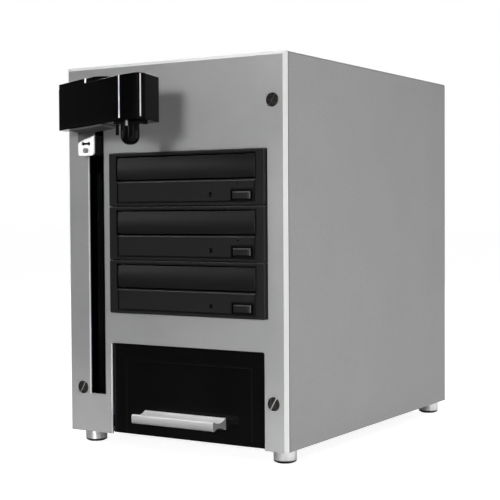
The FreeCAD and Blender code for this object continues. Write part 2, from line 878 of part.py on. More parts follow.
def make_rear_screws():
    """Six small pan-head screws that hold the rear panel to the cover's flange."""
    screws = body("rear_screws")
    pad(screws, FACE, DEEP, "dim.rear_screw_head_h",
        *[circle(x, z, "dim.rear_screw_head_r") for x, z in REAR_SCREWS])
    back = size(f"{DEEP} + dim.rear_screw_head_h")
    chamfer(screws, "dim.rear_screw_head_h / 2", lambda edge: level(edge, 1, back))
    start = f"{REAR_Y} - dim.rear_t - dim.rear_screw_reach"
    pad(screws, FACE, start, f"{DEEP} - ({start})",
        *[circle(x, z, "dim.rear_screw_r") for x, z in REAR_SCREWS])


def make_feet():
    """Four turned feet and the rubber pads under them."""
    feet = body("feet")
    pad(feet, TOP, "-dim.foot_h", "dim.foot_h", *[circle(x, y, "dim.foot_r") for x, y in FEET])
    low = -size("dim.foot_h")
    chamfer(feet, "dim.foot_bevel", lambda edge: level(edge, 2, low))
    pads = body("foot_pads")
    pad(pads, TOP, f"-{STAND}", "dim.pad_h", *[circle(x, y, "dim.pad_r") for x, y in FEET])


def make_drive_cage():
    """A folded frame that carries the drives on a shelf and stands on the base beside the drawer."""
    cage = body("drive_cage")
    left = f"({CAGE_IN0} - dim.cage_t)"
    right = f"({CAGE_IN1} + dim.cage_t)"
    foot = "(dim.base_t + dim.cage_t)"
    outline = [
        (left, "dim.base_t"),
        (f"{CAGE_IN0} + dim.cage_foot", "dim.base_t"),
        (f"{CAGE_IN0} + dim.cage_foot", foot),
        (CAGE_IN0, foot),
        (CAGE_IN0, f"{CAGE_SHELF} - dim.cage_t"),
        (CAGE_IN1, f"{CAGE_SHELF} - dim.cage_t"),
        (CAGE_IN1, foot),
        (f"{CAGE_IN1} - dim.cage_foot", foot),
        (f"{CAGE_IN1} - dim.cage_foot", "dim.base_t"),
        (right, "dim.base_t"),
        (right, CAGE_TOP),
        (left, CAGE_TOP),
    ]
    room = rect(CAGE_IN0, CAGE_SHELF, CAGE_IN1, f"{CAGE_TOP} - dim.cage_t")
    pad(cage, FACE, CAGE_Y0, CAGE_DEPTH, outline, room)
    spots = [
        circle(f"{BOARD_X} + {x}", f"{BOARD_Y} + {y}", "dim.stud_r")
        for x in ("dim.board_inset", "dim.board_w - dim.board_inset")
        for y in ("dim.board_inset", "dim.board_d - dim.board_inset")
    ]
    pad(cage, TOP, CAGE_TOP, "dim.stud_h", *spots)


def drive_place(number):
    """Where a drive's lower left corner is: the first drive is the top one."""
    return {"x": DRIVE_X0, "z": f"({DRIVES_Z0} + {DRIVE_COUNT - number} * dim.drive_pitch)"}


def make_drive_bezel(number):
    """A drive's front frame: door opening, sunk lower panel, eject well, lamp window and pinhole."""
    bezel = body(f"drive_bezel_{number}", **drive_place(number))
    door = rect(
        f"{DOOR_X0} - dim.door_gap",
        f"{DOOR_Z0} - dim.door_gap",
        f"{DOOR_X1} + dim.door_gap",
        f"{DOOR_Z0} + dim.door_h + dim.door_gap",
    )
    button = around(BUTTON_X, "dim.button_z",
                    "dim.button_w + 2 * dim.button_gap", "dim.button_h + 2 * dim.button_gap")
    lamp = around(LED_X, "dim.led_z", "dim.led_w", "dim.led_h")
    pinhole = circle(f"{DOOR_X1} - dim.pinhole_in", f"{LOWER_Z1} - dim.pinhole_drop", "dim.pinhole_r")
    pad(bezel, FACE, "-dim.bezel_proud", "dim.bezel_proud + dim.bezel_back",
        rect("0", "0", "dim.drive_w", BEZEL_H), door, button, lamp, pinhole)
    side, top, rim = size("dim.drive_w"), size(BEZEL_H), size("dim.bezel_round")
    face, sill = -size("dim.bezel_proud"), size(f"{DOOR_Z0} - dim.door_gap")
    fillet(bezel, "dim.bezel_round",
           lambda edge: along(edge, 1) and (close(middle(edge).x, 0) or close(middle(edge).x, side)))

    def on_rim(edge):
        spot = middle(edge)
        return level(edge, 1, face) and (
            min(spot.x, side - spot.x, spot.z, top - spot.z) < rim or close(spot.z, sill)
        )

    chamfer(bezel, "dim.bezel_edge", on_rim)
    left = DOOR_X0
    right = DOOR_X1
    cut(bezel, FACE, "-dim.bezel_proud", "dim.lower_sunk", rect(left, "dim.lower_bottom", right, LOWER_Z1))
    groove = [
        (left, "dim.lower_bottom"),
        (right, "dim.lower_bottom"),
        (right, LOWER_Z1),
        (f"{right} - dim.groove_w", LOWER_Z1),
        (f"{right} - dim.groove_w", "dim.lower_bottom + dim.groove_w"),
        (f"{left} + dim.groove_w", "dim.lower_bottom + dim.groove_w"),
        (f"{left} + dim.groove_w", LOWER_Z1),
        (left, LOWER_Z1),
    ]
    cut(bezel, FACE, "-dim.bezel_proud", "dim.groove_d", groove)
    well = "2 * (dim.button_gap + dim.button_well)"
    cut(bezel, FACE, "-dim.bezel_proud", "dim.lower_sunk + dim.button_well_d",
        around(BUTTON_X, "dim.button_z", f"dim.button_w + {well}", f"dim.button_h + {well}"))


def make_drive_case(number):
    """A drive's sheet case, open at the front, with two rails that the tray runs on."""
    case = body(f"drive_case_{number}", **drive_place(number))
    left = "dim.case_side"
    right = "(dim.drive_w - dim.case_side)"
    low = "dim.case_low"
    high = f"({BEZEL_H} - dim.case_low)"
    depth = "(dim.drive_depth - dim.bezel_back)"
    pad(case, FACE, "dim.bezel_back", depth, rect(left, low, right, high))
    cut(case, FACE, "dim.bezel_back", f"{depth} - dim.case_wall",
        rect(f"{left} + dim.case_wall", f"{low} + dim.case_wall",
             f"{right} - dim.case_wall", f"{high} - dim.case_wall"))
    rail_top = f"({TRAY_Z0} - dim.tray_fit)"
    rail_low = f"({rail_top} - dim.tray_rail_t)"
    pad(case, FACE, "dim.bezel_back", f"{depth} - dim.case_wall",
        rect(f"{left} + dim.case_wall", rail_low, f"{left} + dim.case_wall + dim.tray_rail_w", rail_top),
        rect(f"{right} - dim.case_wall - dim.tray_rail_w", rail_low, f"{right} - dim.case_wall", rail_top))


def make_drive_tray(number):
    """A disc tray: a plate with a disc well, a spindle opening and a slit for the pickup."""
    tray = body(f"drive_tray_{number}", **drive_place(number))
    middle_x = "(dim.drive_w / 2)"
    start = "(dim.door_t - dim.bezel_proud)"
    pad(tray, TOP, TRAY_Z0, "dim.tray_t",
        rect(f"{DOOR_X0} + dim.tray_side", start,
             f"{DOOR_X1} - dim.tray_side", "dim.drive_depth - dim.tray_behind"))
    cut(tray, TOP, f"{TRAY_Z0} + dim.tray_t - dim.disc_sunk", "dim.disc_sunk",
        circle(middle_x, "dim.disc_y", "dim.disc_r"))
    cut(tray, TOP, TRAY_Z0, "dim.tray_t", circle(middle_x, "dim.disc_y", "dim.spindle_r"))
    cut(tray, TOP, TRAY_Z0, "dim.tray_t",
        rect(f"{middle_x} - dim.pickup_w / 2", "dim.disc_y",
             f"{middle_x} + dim.pickup_w / 2", "dim.disc_y + dim.disc_r - dim.tray_t"))


def make_tray_door(number):
    """The flap on the tray's front, flush with the bezel."""
    door = body(f"tray_door_{number}", **drive_place(number))
    profile = Bulge(
        "dim.door_t - dim.bezel_proud", "dim.door_bulge - dim.bezel_proud", "dim.door_bulge",
        DOOR_Z0, f"{DOOR_Z0} + dim.door_h")
    pad(door, SIDE, DOOR_X0, f"{DOOR_X1} - {DOOR_X0}", profile)
    back = size("dim.door_t - dim.bezel_proud")
    fillet(door, "dim.door_round", lambda edge: along(edge, 1))
    chamfer(door, "dim.door_edge",
            lambda edge: not along(edge, 1) and all(vertex.Point.y < back - 0.1 for vertex in edge.Vertexes))


def make_eject_button(number):
    """The eject button: a cap in the bezel's well and a flange behind the bezel."""
    button = body(f"eject_button_{number}", **drive_place(number))
    cap = around(BUTTON_X, "dim.button_z", "dim.button_w", "dim.button_h")
    front = "(dim.bezel_proud + dim.button_proud)"
    back = "(dim.bezel_back + dim.button_gap)"
    pad(button, FACE, f"-{front}", f"{front} + {back}", cap)
    face = -size(front)
    chamfer(button, "dim.button_proud", lambda edge: level(edge, 1, face))
    pad(button, FACE, back, "dim.button_flange",
        around(BUTTON_X, "dim.button_z",
               "dim.button_w + 4 * dim.button_flange", "dim.button_h + 3 * dim.button_flange"))


def make_drive_leds():
    """The three activity lamps, one in each bezel."""
    lamps = body("drive_leds", x=DRIVE_X0)
    shapes = []
    for number in range(1, DRIVE_COUNT + 1):
        height = f"{drive_place(number)['z']} + dim.led_z"
        shapes.append(around(LED_X, height, "dim.led_w", "dim.led_h"))
    front = "(dim.bezel_proud - dim.lower_sunk - dim.led_sunk)"
    pad(lamps, FACE, f"-{front}", f"{front} + dim.bezel_back", *shapes)


def make_drawer():
    """The catch drawer: smoked front, sheet bin with side lips, and the pull handle."""
    front = body("drawer_front")
    pad(front, FACE, "dim.drawer_recess", "dim.drawer_front_t",
        rect(f"{DRAWER_X0} + dim.drawer_gap", "dim.drawer_low",
             f"{DRAWER_X1} - dim.drawer_gap", "dim.drawer_h - dim.drawer_gap"))
    top = size("dim.drawer_h - dim.drawer_gap")
    fillet(front, "dim.gate_round - dim.drawer_gap",
           lambda edge: along(edge, 1) and close(middle(edge).z, top))
    face = size("dim.drawer_recess")
    chamfer(front, "dim.drawer_gap", lambda edge: level(edge, 1, face))

    bin_ = body("drawer_bin")
    pad(bin_, FACE, DRAWER_BACK, BIN_D, rect(BIN_X0, "dim.bin_low", BIN_X1, BIN_Z1))
    lip_top = f"({LIP_Z0} + dim.bin_lip_t)"
    pad(bin_, FACE, DRAWER_BACK, BIN_D,
        rect(f"{BIN_X0} - dim.bin_lip", LIP_Z0, f"{BIN_X1} + dim.bin_lip", lip_top))
    cut(bin_, TOP, "dim.bin_low + dim.bin_wall", f"{BIN_Z1} - dim.bin_low",
        rect(f"{BIN_X0} + dim.bin_wall", f"{DRAWER_BACK} + dim.bin_wall",
             f"{BIN_X1} - dim.bin_wall", f"{DRAWER_BACK} + {BIN_D} - dim.bin_wall"))

    handle = body("drawer_handle", x=f"({DRAWER_X0} + dim.handle_left)",
                  y="dim.drawer_recess", z="dim.handle_z")
    back = "(dim.handle_back_h / 2)"
    lip = "(dim.handle_lip_h / 2)"
    land = "dim.handle_land"
    reach = "dim.handle_reach"
    pad(handle, SIDE, "0", "dim.handle_w", [
        ("0", f"-{back}"),
        ("0", back),
        (f"-{land}", back),
        (f"-({reach} - {land})", lip),
        (f"-{reach}", lip),
        (f"-{reach}", f"-{lip}"),
        (f"-({reach} - {land})", f"-{lip}"),
        (f"-{land}", f"-{back}"),
    ])
    half = f"({reach} / 2 - {land})"
    scoop = "dim.handle_scoop"
    radius = f"(({half}^2 + {scoop}^2) / (2 * {scoop}))"
    rise = f"(({back} + {lip}) / 2 + {radius} - {scoop})"
    cut(handle, SIDE, "0", "dim.handle_w",
        circle(f"-{reach} / 2", rise, radius),
        circle(f"-{reach} / 2", f"-{rise}", radius))
    tip = -size(reach)
    fillet(handle, "dim.handle_round", lambda edge: along(edge, 0) and close(middle(edge).y, tip))


def make_drawer_rails():
    """Two channels on the cage's legs that hold the bin's lips."""
    rails = body("drawer_rails")
    low = f"({LIP_Z0} - dim.rail_fit)"
    high = f"({LIP_Z0} + dim.bin_lip_t + dim.rail_fit)"
    gap = "(2 * dim.rail_fit)"
    profiles = []
    for wall, side, sign in ((CAGE_IN0, BIN_X0, "-"), (CAGE_IN1, BIN_X1, "+")):
        near = f"({side} {sign} {gap})"
        deep = f"({side} {sign} (dim.bin_lip + dim.rail_fit))"
        profiles.append([
            (wall, f"{low} - dim.rail_wrap"),
            (near, f"{low} - dim.rail_wrap"),
            (near, low),
            (deep, low),
            (deep, high),
            (near, high),
            (near, f"{high} + dim.rail_wrap"),
            (wall, f"{high} + dim.rail_wrap"),
        ])
    pad(rails, FACE, CAGE_Y0, CAGE_DEPTH, *profiles)


def make_lift_column():
    """A C-shaped bracket that carries the guide rods, the motor and the idler."""
    column = body("lift_column")
    wall = "dim.column_t"
    top_in = f"({COLUMN_Z1} - {wall})"
    low_in = f"(dim.base_t + {wall})"
    back_in = f"({COLUMN_Y1} - {wall})"
    pad(column, SIDE, COLUMN_X0, f"{COLUMN_X1} - {COLUMN_X0}", [
        ("dim.column_front", "dim.base_t"),
        (COLUMN_Y1, "dim.base_t"),
        (COLUMN_Y1, COLUMN_Z1),
        ("dim.column_front", COLUMN_Z1),
        ("dim.column_front", top_in),
        (back_in, top_in),
        (back_in, low_in),
        ("dim.column_front", low_in),
    ])
    pad(column, TOP, "dim.base_t", f"{COLUMN_Z1} - dim.base_t",
        rect(COLUMN_X0, "dim.column_front", f"{COLUMN_X0} + dim.column_lip", f"dim.column_front + {wall}"))
    for at in ("dim.base_t", top_in):
        cut(column, TOP, at, wall, *[circle(x, "dim.rod_y", "dim.rod_r") for x in ROD_XS])
    cut(column, FACE, back_in, wall,
        circle(LIFT_X, "dim.motor_z", "dim.motor_boss_r"), circle(LIFT_X, IDLER_Z, "dim.shaft_r"))


def make_lift_drive():
    """The motor, its toothed pulley, the idler on its axle, and the belt round both."""
    motor = body("lift_motor")
    half = "(dim.motor_w / 2)"
    pad(motor, FACE, COLUMN_Y1, "dim.motor_d", around(LIFT_X, "dim.motor_z", "dim.motor_w", "dim.motor_w"))
    centre, reach = size(LIFT_X), size(half)
    chamfer(motor, "dim.motor_corner",
            lambda edge: along(edge, 1) and close(abs(middle(edge).x - centre), reach))
    pad(motor, FACE, f"{COLUMN_Y1} - dim.column_t + dim.sheet_fit", "dim.column_t - dim.sheet_fit",
        circle(LIFT_X, "dim.motor_z", "dim.motor_boss_r - dim.sheet_fit"))
    cut(motor, FACE, f"{COLUMN_Y1} - dim.column_t", f"dim.column_t + dim.shaft_in + dim.sheet_fit",
        circle(LIFT_X, "dim.motor_z", "dim.shaft_r + dim.run_fit"))

    root = "(dim.pulley_r - dim.belt_clear)"
    rim = "(dim.pulley_r + dim.pulley_flange)"
    tooth = "(180 / dim.pulley_teeth)"
    for label, height in (("drive_pulley", "dim.motor_z"), ("idler_pulley", IDLER_Z)):
        pulley = body(label, x=LIFT_X, y=BELT_Y0, z=height)
        pad(pulley, FACE, "0", "dim.belt_w", circle("0", "0", root))
        notch = [
            (f"({root} - dim.tooth_d) * sin(-{tooth} / 2)", f"({root} - dim.tooth_d) * cos({tooth} / 2)"),
            (f"({root} - dim.tooth_d) * sin({tooth} / 2)", f"({root} - dim.tooth_d) * cos({tooth} / 2)"),
            (f"{rim} * sin({tooth} / 2)", f"{rim} * cos({tooth} / 2)"),
            (f"{rim} * sin(-{tooth} / 2)", f"{rim} * cos({tooth} / 2)"),
        ]
        repeat(pulley, cut(pulley, FACE, "0", "dim.belt_w", notch), "Y_Axis", "dim.pulley_teeth")
        pad(pulley, FACE, "-dim.flange_t", "dim.flange_t", circle("0", "0", rim))
        pad(pulley, FACE, "dim.belt_w", "dim.flange_t", circle("0", "0", rim))
        if label == "drive_pulley":
            pad(pulley, FACE, "dim.belt_w", "dim.belt_back + dim.column_t + dim.shaft_in",
                circle("0", "0", "dim.shaft_r"))
        else:
            cut(pulley, FACE, "-dim.flange_t", "dim.belt_w + 2 * dim.flange_t",
                circle("0", "0", "dim.shaft_r + dim.run_fit"))

    axle = body("idler_axle", x=LIFT_X, z=IDLER_Z)
    start = f"({BELT_Y0} - 2 * dim.flange_t)"
    pad(axle, FACE, start, f"{COLUMN_Y1} - {start}", circle("0", "0", "dim.shaft_r"))
    pad(axle, FACE, f"{start} - dim.flange_t", "dim.flange_t", circle("0", "0", "dim.shaft_r + dim.flange_t"))

    belt = body("timing_belt")
    inner = "dim.pulley_r"
    outer = "(dim.pulley_r + dim.belt_t)"
    pad(belt, FACE, f"{BELT_Y0} + dim.belt_clear", "dim.belt_w - 2 * dim.belt_clear",
        Stadium(LIFT_X, "dim.motor_z", IDLER_Z, outer), Stadium(LIFT_X, "dim.motor_z", IDLER_Z, inner))

    rods = body("guide_rods")
    pad(rods, TOP, "dim.base_t", f"{COLUMN_Z1} - dim.base_t",
        *[circle(x, "dim.rod_y", "dim.rod_r") for x in ROD_XS])


def make_carriage():
    """The block that runs on the rods, with a neck through the panel's slot and a belt clamp."""
    carriage = body("carriage")
    left = f"({ROD_XS[0]} - dim.carriage_margin)"
    right = f"({ROD_XS[1]} + dim.carriage_margin)"
    front = "(dim.rod_y - dim.carriage_d / 2)"
    back = "(dim.rod_y + dim.carriage_d / 2)"
    pad(carriage, FACE, front, "dim.carriage_d",
        rect(left, CARRIAGE_Z0, right, f"{CARRIAGE_Z0} + dim.carriage_h"))
    plate_back = "(dim.plate_t - dim.plate_y)"
    pad(carriage, FACE, plate_back, f"{front} - {plate_back}",
        rect(f"{SLOT_X0} + dim.neck_gap", NECK_Z0, f"{SLOT_X1} - dim.neck_gap", f"{NECK_Z0} + dim.neck_h"))
    run = f"({LIFT_X} + dim.pulley_r + dim.belt_t / 2)"
    middle_z = f"({CARRIAGE_Z0} + dim.carriage_h / 2)"
    pad(carriage, FACE, back, f"{BELT_Y1} - {back}", around(run, middle_z, "dim.clamp_w", "dim.clamp_h"))
    cut(carriage, FACE, f"{BELT_Y0}", "dim.belt_w",
        around(run, middle_z, "dim.belt_t + 2 * dim.belt_clear", "2 * dim.clamp_h"))
    cut(carriage, TOP, CARRIAGE_Z0, "dim.carriage_h", *[circle(x, "dim.rod_y", "dim.bush_r") for x in ROD_XS])

    bushes = body("carriage_bushes")
    for low in (CARRIAGE_Z0, f"{CARRIAGE_Z0} + dim.carriage_h - dim.bush_t"):
        pad(bushes, TOP, low, "dim.bush_t", *[circle(x, "dim.rod_y", "dim.bush_r") for x in ROD_XS])
    cut(bushes, TOP, CARRIAGE_Z0, "dim.carriage_h",
        *[circle(x, "dim.rod_y", "dim.rod_r + dim.run_fit") for x in ROD_XS])


# Corners of the arm and the place of its disc sensor, seen from above
SENSOR = (f"({GRIP_X} - dim.sensor_left)", "-(dim.grip_y - dim.sensor_behind)")
ARM_LEFT = (f"({SLOT_X0} - dim.arm_left_out)", "-dim.arm_left_y")
ARM_END = (f"({SLOT_X0} - dim.arm_end_out)", "-dim.arm_end_y")
ARM_SEAM = (f"({GRIP_X} - dim.arm_seam_left)", "-(dim.grip_y + dim.arm_seam_ahead)")
NOSE_TIP = (f"({GRIP_X} + dim.nose_right)", f"-{NOSE_REACH}")
NOSE_BACK = (f"({GRIP_X} + dim.nose_back_right)", "-(dim.grip_y - dim.nose_back_behind)")


def between(start, end, share):
    """The point at a share of the way from one corner to another."""
    return tuple(f"({a} + ({b} - {a}) * {share})" for a, b in zip(start, end))


def stepped(start, end, distance):
    """The point at a distance from one corner towards another."""
    span = f"sqrt(({end[0]} - {start[0]})^2 + ({end[1]} - {start[1]})^2)"
    return between(start, end, f"({distance}) / {span}")


def behind(corner, distance):
    """The point at a distance behind the arm's front wall, square to it."""
    along_x = f"({ARM_SEAM[0]} - {ARM_LEFT[0]})"
    along_y = f"({ARM_SEAM[1]} - {ARM_LEFT[1]})"
    span = f"sqrt({along_x}^2 + {along_y}^2)"
    return f"({corner[0]} - {distance} * {along_y} / {span})", f"({corner[1]} + {distance} * {along_x} / {span})"


SEAM_BACK = between(ARM_END, NOSE_BACK, "dim.seam_share")


def upright(edge, corner):
    """Is an edge vertical and above a corner of the plan?"""
    spot = middle(edge)
    return along(edge, 2) and close(spot.x, size(corner[0])) and close(spot.y, size(corner[1]))


def faces_seam(face, start, end):
    """Is a face flat and on the vertical plane through two corners of the plan?"""
    a = FreeCAD.Vector(size(start[0]), size(start[1]), 0)
    b = FreeCAD.Vector(size(end[0]), size(end[1]), 0)
    across = (b - a).cross(FreeCAD.Vector(0, 0, 1)).normalize()
    return all(abs((vertex.Point - a).dot(across)) < 1e-4 for vertex in face.Vertexes)


def make_arm():
    """The gripper arm: bottom plate, main housing, nose cap and raised lid."""
    base = body("arm_base")
    pad(base, TOP, ARM_Z0, "dim.arm_base_t", [ARM_LEFT, ARM_SEAM, NOSE_TIP, NOSE_BACK, ARM_END])
    fillet(base, "dim.nose_round", lambda edge: upright(edge, NOSE_TIP))
    fillet(base, "dim.nose_back_round", lambda edge: upright(edge, NOSE_BACK))
    cut(base, TOP, ARM_Z0, "dim.arm_base_t",
        circle(GRIP_X, "-dim.grip_y", "dim.hub_bore_r"),
        circle(*SENSOR, "dim.sensor_r + dim.run_fit"))

    height = "(dim.arm_h - dim.arm_base_t)"
    low, high = size(SHELL_Z0), size(ARM_Z1)
    seam_front = stepped(ARM_SEAM, ARM_LEFT, "dim.arm_seam_gap / 2")
    seam_back = stepped(SEAM_BACK, ARM_END, "dim.arm_seam_gap / 2")
    housing = body("arm_housing")
    pad(housing, TOP, SHELL_Z0, height, [ARM_LEFT, seam_front, seam_back, ARM_END])
    hollow(housing, "dim.arm_wall",
           lambda face: level_face(face, low) or faces_seam(face, seam_front, seam_back))
    fillet(housing, "dim.seam_round", lambda edge: upright(edge, seam_front))
    fillet(housing, "dim.arm_round",
           lambda edge: level(edge, 2, high) and outside(edge, seam_front, seam_back))

    nose_front = stepped(ARM_SEAM, NOSE_TIP, "dim.arm_seam_gap / 2")
    nose_rear = stepped(SEAM_BACK, NOSE_BACK, "dim.arm_seam_gap / 2")
    nose = body("arm_nose")
    pad(nose, TOP, SHELL_Z0, height, [nose_front, NOSE_TIP, NOSE_BACK, nose_rear])
    fillet(nose, "dim.nose_round", lambda edge: upright(edge, NOSE_TIP))
    fillet(nose, "dim.nose_back_round", lambda edge: upright(edge, NOSE_BACK))
    hollow(nose, "dim.arm_wall",
           lambda face: level_face(face, low) or faces_seam(face, nose_front, nose_rear))
    fillet(nose, "dim.arm_round", lambda edge: level(edge, 2, high) and outside(edge, nose_front, nose_rear))

    lid_front = between(ARM_LEFT, ARM_SEAM, "dim.lid_share")
    lid_end = behind(between(ARM_LEFT, ARM_SEAM, "dim.lid_end_share"), "dim.lid_set")
    lid_back = between(ARM_END, NOSE_BACK, "dim.lid_back_share")
    lid = body("arm_lid")
    pad(lid, TOP, ARM_Z1, "dim.lid_h", [
        stepped(ARM_LEFT, lid_front, "dim.arm_round"),
        lid_front,
        behind(lid_front, "dim.lid_set"),
        lid_end,
        lid_back,
        stepped(ARM_END, lid_back, "dim.arm_round"),
    ])
    fillet(lid, "dim.lid_round", lambda edge: upright(edge, lid_end) or upright(edge, lid_back))
    fillet(lid, "dim.lid_step_round", lambda edge: upright(edge, lid_front))
    lid_top = size(f"{ARM_Z1} + dim.lid_h")
    fillet(lid, "dim.arm_round", lambda edge: level(edge, 2, lid_top))


def level_face(face, height):
    """Is a face flat and level at a height?"""
    return all(close(vertex.Point.z, height) for vertex in face.Vertexes)


def outside(edge, start, end):
    """Does an edge stay off the vertical plane through two corners of the plan?"""
    a = FreeCAD.Vector(size(start[0]), size(start[1]), 0)
    b = FreeCAD.Vector(size(end[0]), size(end[1]), 0)
    across = (b - a).cross(FreeCAD.Vector(0, 0, 1)).normalize()
    return any(abs((vertex.Point - a).dot(across)) > 1e-4 for vertex in edge.Vertexes)


def make_arm_bracket():
    """The bent plate that hangs the arm on the carriage's neck, and the arm's small screws."""
    bracket = body("arm_bracket", x=PLATE_X0, y="-dim.plate_y")
    top = ARM_Z0
    low = f"({ARM_Z0} - dim.plate_h - dim.plate_t)"
    hole_z = f"({ARM_Z0} - dim.plate_hole_drop)"
    middle_x = "(dim.plate_w / 2)"
    pad(bracket, FACE, "0", "dim.plate_t", rect("0", low, "dim.plate_w", top))
    bottom = size(low)
    fillet(bracket, "dim.plate_round", lambda edge: along(edge, 1) and close(middle(edge).z, bottom))
    flange = [
        behind(between(ARM_LEFT, ARM_SEAM, "dim.plate_flange_from"), "dim.plate_flange_set"),
        behind(between(ARM_LEFT, ARM_SEAM, "dim.plate_flange_to"), "dim.plate_flange_set"),
        between(ARM_END, NOSE_BACK, "dim.plate_flange_back"),
    ]
    pad(bracket, TOP, f"{ARM_Z0} - dim.plate_t", "dim.plate_t", [
        ("0", "dim.plate_t"),
        ("0", "0"),
        *[(f"{x} - {PLATE_X0}", f"{y} + dim.plate_y") for x, y in flange],
        ("dim.plate_w", "dim.plate_t"),
    ])
    for side in ("-", "+"):
        cut(bracket, FACE, "0", "dim.plate_t",
            circle(f"{middle_x} {side} dim.plate_hole_gap / 2", hole_z, "dim.plate_hole_r"))
    cut(bracket, FACE, "0", "dim.plate_t",
        around(middle_x, hole_z, "dim.plate_hole_gap", "dim.plate_hole_slit"))
    screw_z = f"({ARM_Z0} - dim.plate_screw_drop)"
    cut(bracket, FACE, "0", "dim.plate_t", circle(middle_x, screw_z, "dim.arm_screw_r"))

    screws = body("arm_screws")
    screw_x = f"({PLATE_X0} + {middle_x})"
    pad(screws, FACE, "-dim.plate_y - dim.arm_screw_head_h", "dim.arm_screw_head_h",
        circle(screw_x, screw_z, "dim.arm_screw_head_r"))
    pad(screws, FACE, "-dim.plate_y", "dim.plate_t", circle(screw_x, screw_z, "dim.arm_screw_r"))
    pad(screws, TOP, f"{ARM_Z0} - dim.grip_screw_drop", "dim.grip_screw_drop",
        circle(f"{GRIP_X} + dim.grip_screw_right", "-(dim.grip_y + dim.grip_screw_ahead)", "dim.arm_screw_r"))


def make_gripper():
    """The disc gripper: hub with three slots, three fingers, the plunger, its solenoid and a sensor."""
    place = {"x": GRIP_X, "y": "-dim.grip_y", "z": f"({ARM_Z0} - dim.hub_h)"}
    window_low = "(dim.finger_low - dim.finger_fit)"
    hub = body("gripper_hub", **place)
    turn(hub, rect("0", "0", "dim.hub_r", "dim.hub_h"))
    fillet(hub, "dim.hub_round", lambda edge: level(edge, 2, 0))
    pad(hub, TOP, "dim.hub_h - dim.hub_flange_t", "dim.hub_flange_t",
        rect("-dim.hub_flange_left", "-dim.hub_flange_d / 2", "dim.hub_flange_right", "dim.hub_flange_d / 2"))
    cut(hub, TOP, "dim.hub_nose", "dim.hub_h - dim.hub_nose", circle("0", "0", "dim.hub_bore_r"))
    slit = cut(hub, TOP, window_low, "dim.finger_h + 2 * dim.finger_fit",
               rect("0", "-dim.finger_w / 2 - dim.finger_fit",
                    "2 * dim.hub_r", "dim.finger_w / 2 + dim.finger_fit"))
    repeat(hub, slit, "Z_Axis", str(FINGER_COUNT))

    for number in range(FINGER_COUNT):
        finger = body(f"gripper_finger_{number + 1}", **place)
        pad(finger, TOP, "dim.finger_low", "dim.finger_h",
            rect("dim.finger_in", "-dim.finger_w / 2", "dim.finger_out", "dim.finger_w / 2"))
        tip = size("dim.finger_out")
        fillet(finger, "dim.finger_round", lambda edge: along(edge, 2) and close(middle(edge).x, tip))
        turned = FreeCAD.Rotation(FreeCAD.Vector(0, 0, 1), number * 360 / FINGER_COUNT)
        finger.Placement = FreeCAD.Placement(finger.Placement.Base, turned)

    plunger = body("gripper_plunger", **place)
    turn(plunger, [
        ("0", "dim.plunger_low"),
        ("dim.plunger_tip_r", "dim.plunger_low"),
        ("dim.plunger_r", "dim.plunger_low + dim.plunger_cone"),
        ("dim.plunger_r", "dim.plunger_low + dim.plunger_h"),
        ("0", "dim.plunger_low + dim.plunger_h"),
    ])

    solenoid = body("solenoid", x=GRIP_X, y="-dim.grip_y", z=SHELL_Z0)
    bore = "(dim.plunger_r + dim.run_fit)"
    pad(solenoid, TOP, "0", "dim.solenoid_h", circle("0", "0", "dim.solenoid_r"), circle("0", "0", bore))

    sensor = body("disc_sensor_pin", x=SENSOR[0], y=SENSOR[1], z=ARM_Z0)
    pad(sensor, TOP, "-dim.sensor_drop", "dim.sensor_drop + dim.sensor_up", circle("0", "0", "dim.sensor_r"))
    low = -size("dim.sensor_drop")
    fillet(sensor, "dim.sensor_r / 2", lambda edge: level(edge, 2, low))


def make_power_supply():
    """The power supply's vented box on the base plate."""
    supply = body("power_supply", x=SUPPLY_X, y=SUPPLY_Y, z="dim.base_t")
    wall = "dim.supply_wall"
    pad(supply, TOP, "0", "dim.supply_h", rect("0", "0", "dim.supply_w", "dim.supply_d"))
    cut(supply, TOP, wall, f"dim.supply_h - 2 * {wall}",
        rect(wall, wall, f"dim.supply_w - {wall}", f"dim.supply_d - {wall}"))
    count = int(size("(dim.supply_w - 2 * dim.vent_margin) / dim.vent_pitch"))
    slots = [
        rect(f"dim.vent_margin + {step} * dim.vent_pitch", "dim.vent_margin",
             f"dim.vent_margin + {step} * dim.vent_pitch + dim.vent_w", "dim.supply_d - dim.vent_margin")
        for step in range(count)
    ]
    cut(supply, TOP, f"dim.supply_h - {wall}", wall, *slots)


def make_controller_board():
    """The controller: a circuit board on the cage's studs, with chips, sockets and capacitors."""
    board = body("controller_board", x=BOARD_X, y=BOARD_Y, z=f"({CAGE_TOP} + dim.stud_h)")
    top = "dim.board_t"
    pad(board, TOP, "0", top, rect("0", "0", "dim.board_w", "dim.board_d"))
    chip = "(dim.board_d / 4)"
    pad(board, TOP, top, "2 * dim.board_t", around("dim.board_w / 3", "dim.board_d / 2", chip, chip))
    pad(board, TOP, top, "6 * dim.board_t", *[
        rect(f"dim.board_w - {chip}", f"{step} * dim.board_d / 4",
             f"dim.board_w - {chip} / 2", f"({step} + 0.7) * dim.board_d / 4")
        for step in (0.6, 1.6, 2.6)
    ])
    pad(board, TOP, top, "8 * dim.board_t", *[
        circle("dim.board_w / 8", f"dim.board_d * {share}", "3 * dim.board_t") for share in (0.3, 0.5, 0.7)
    ])


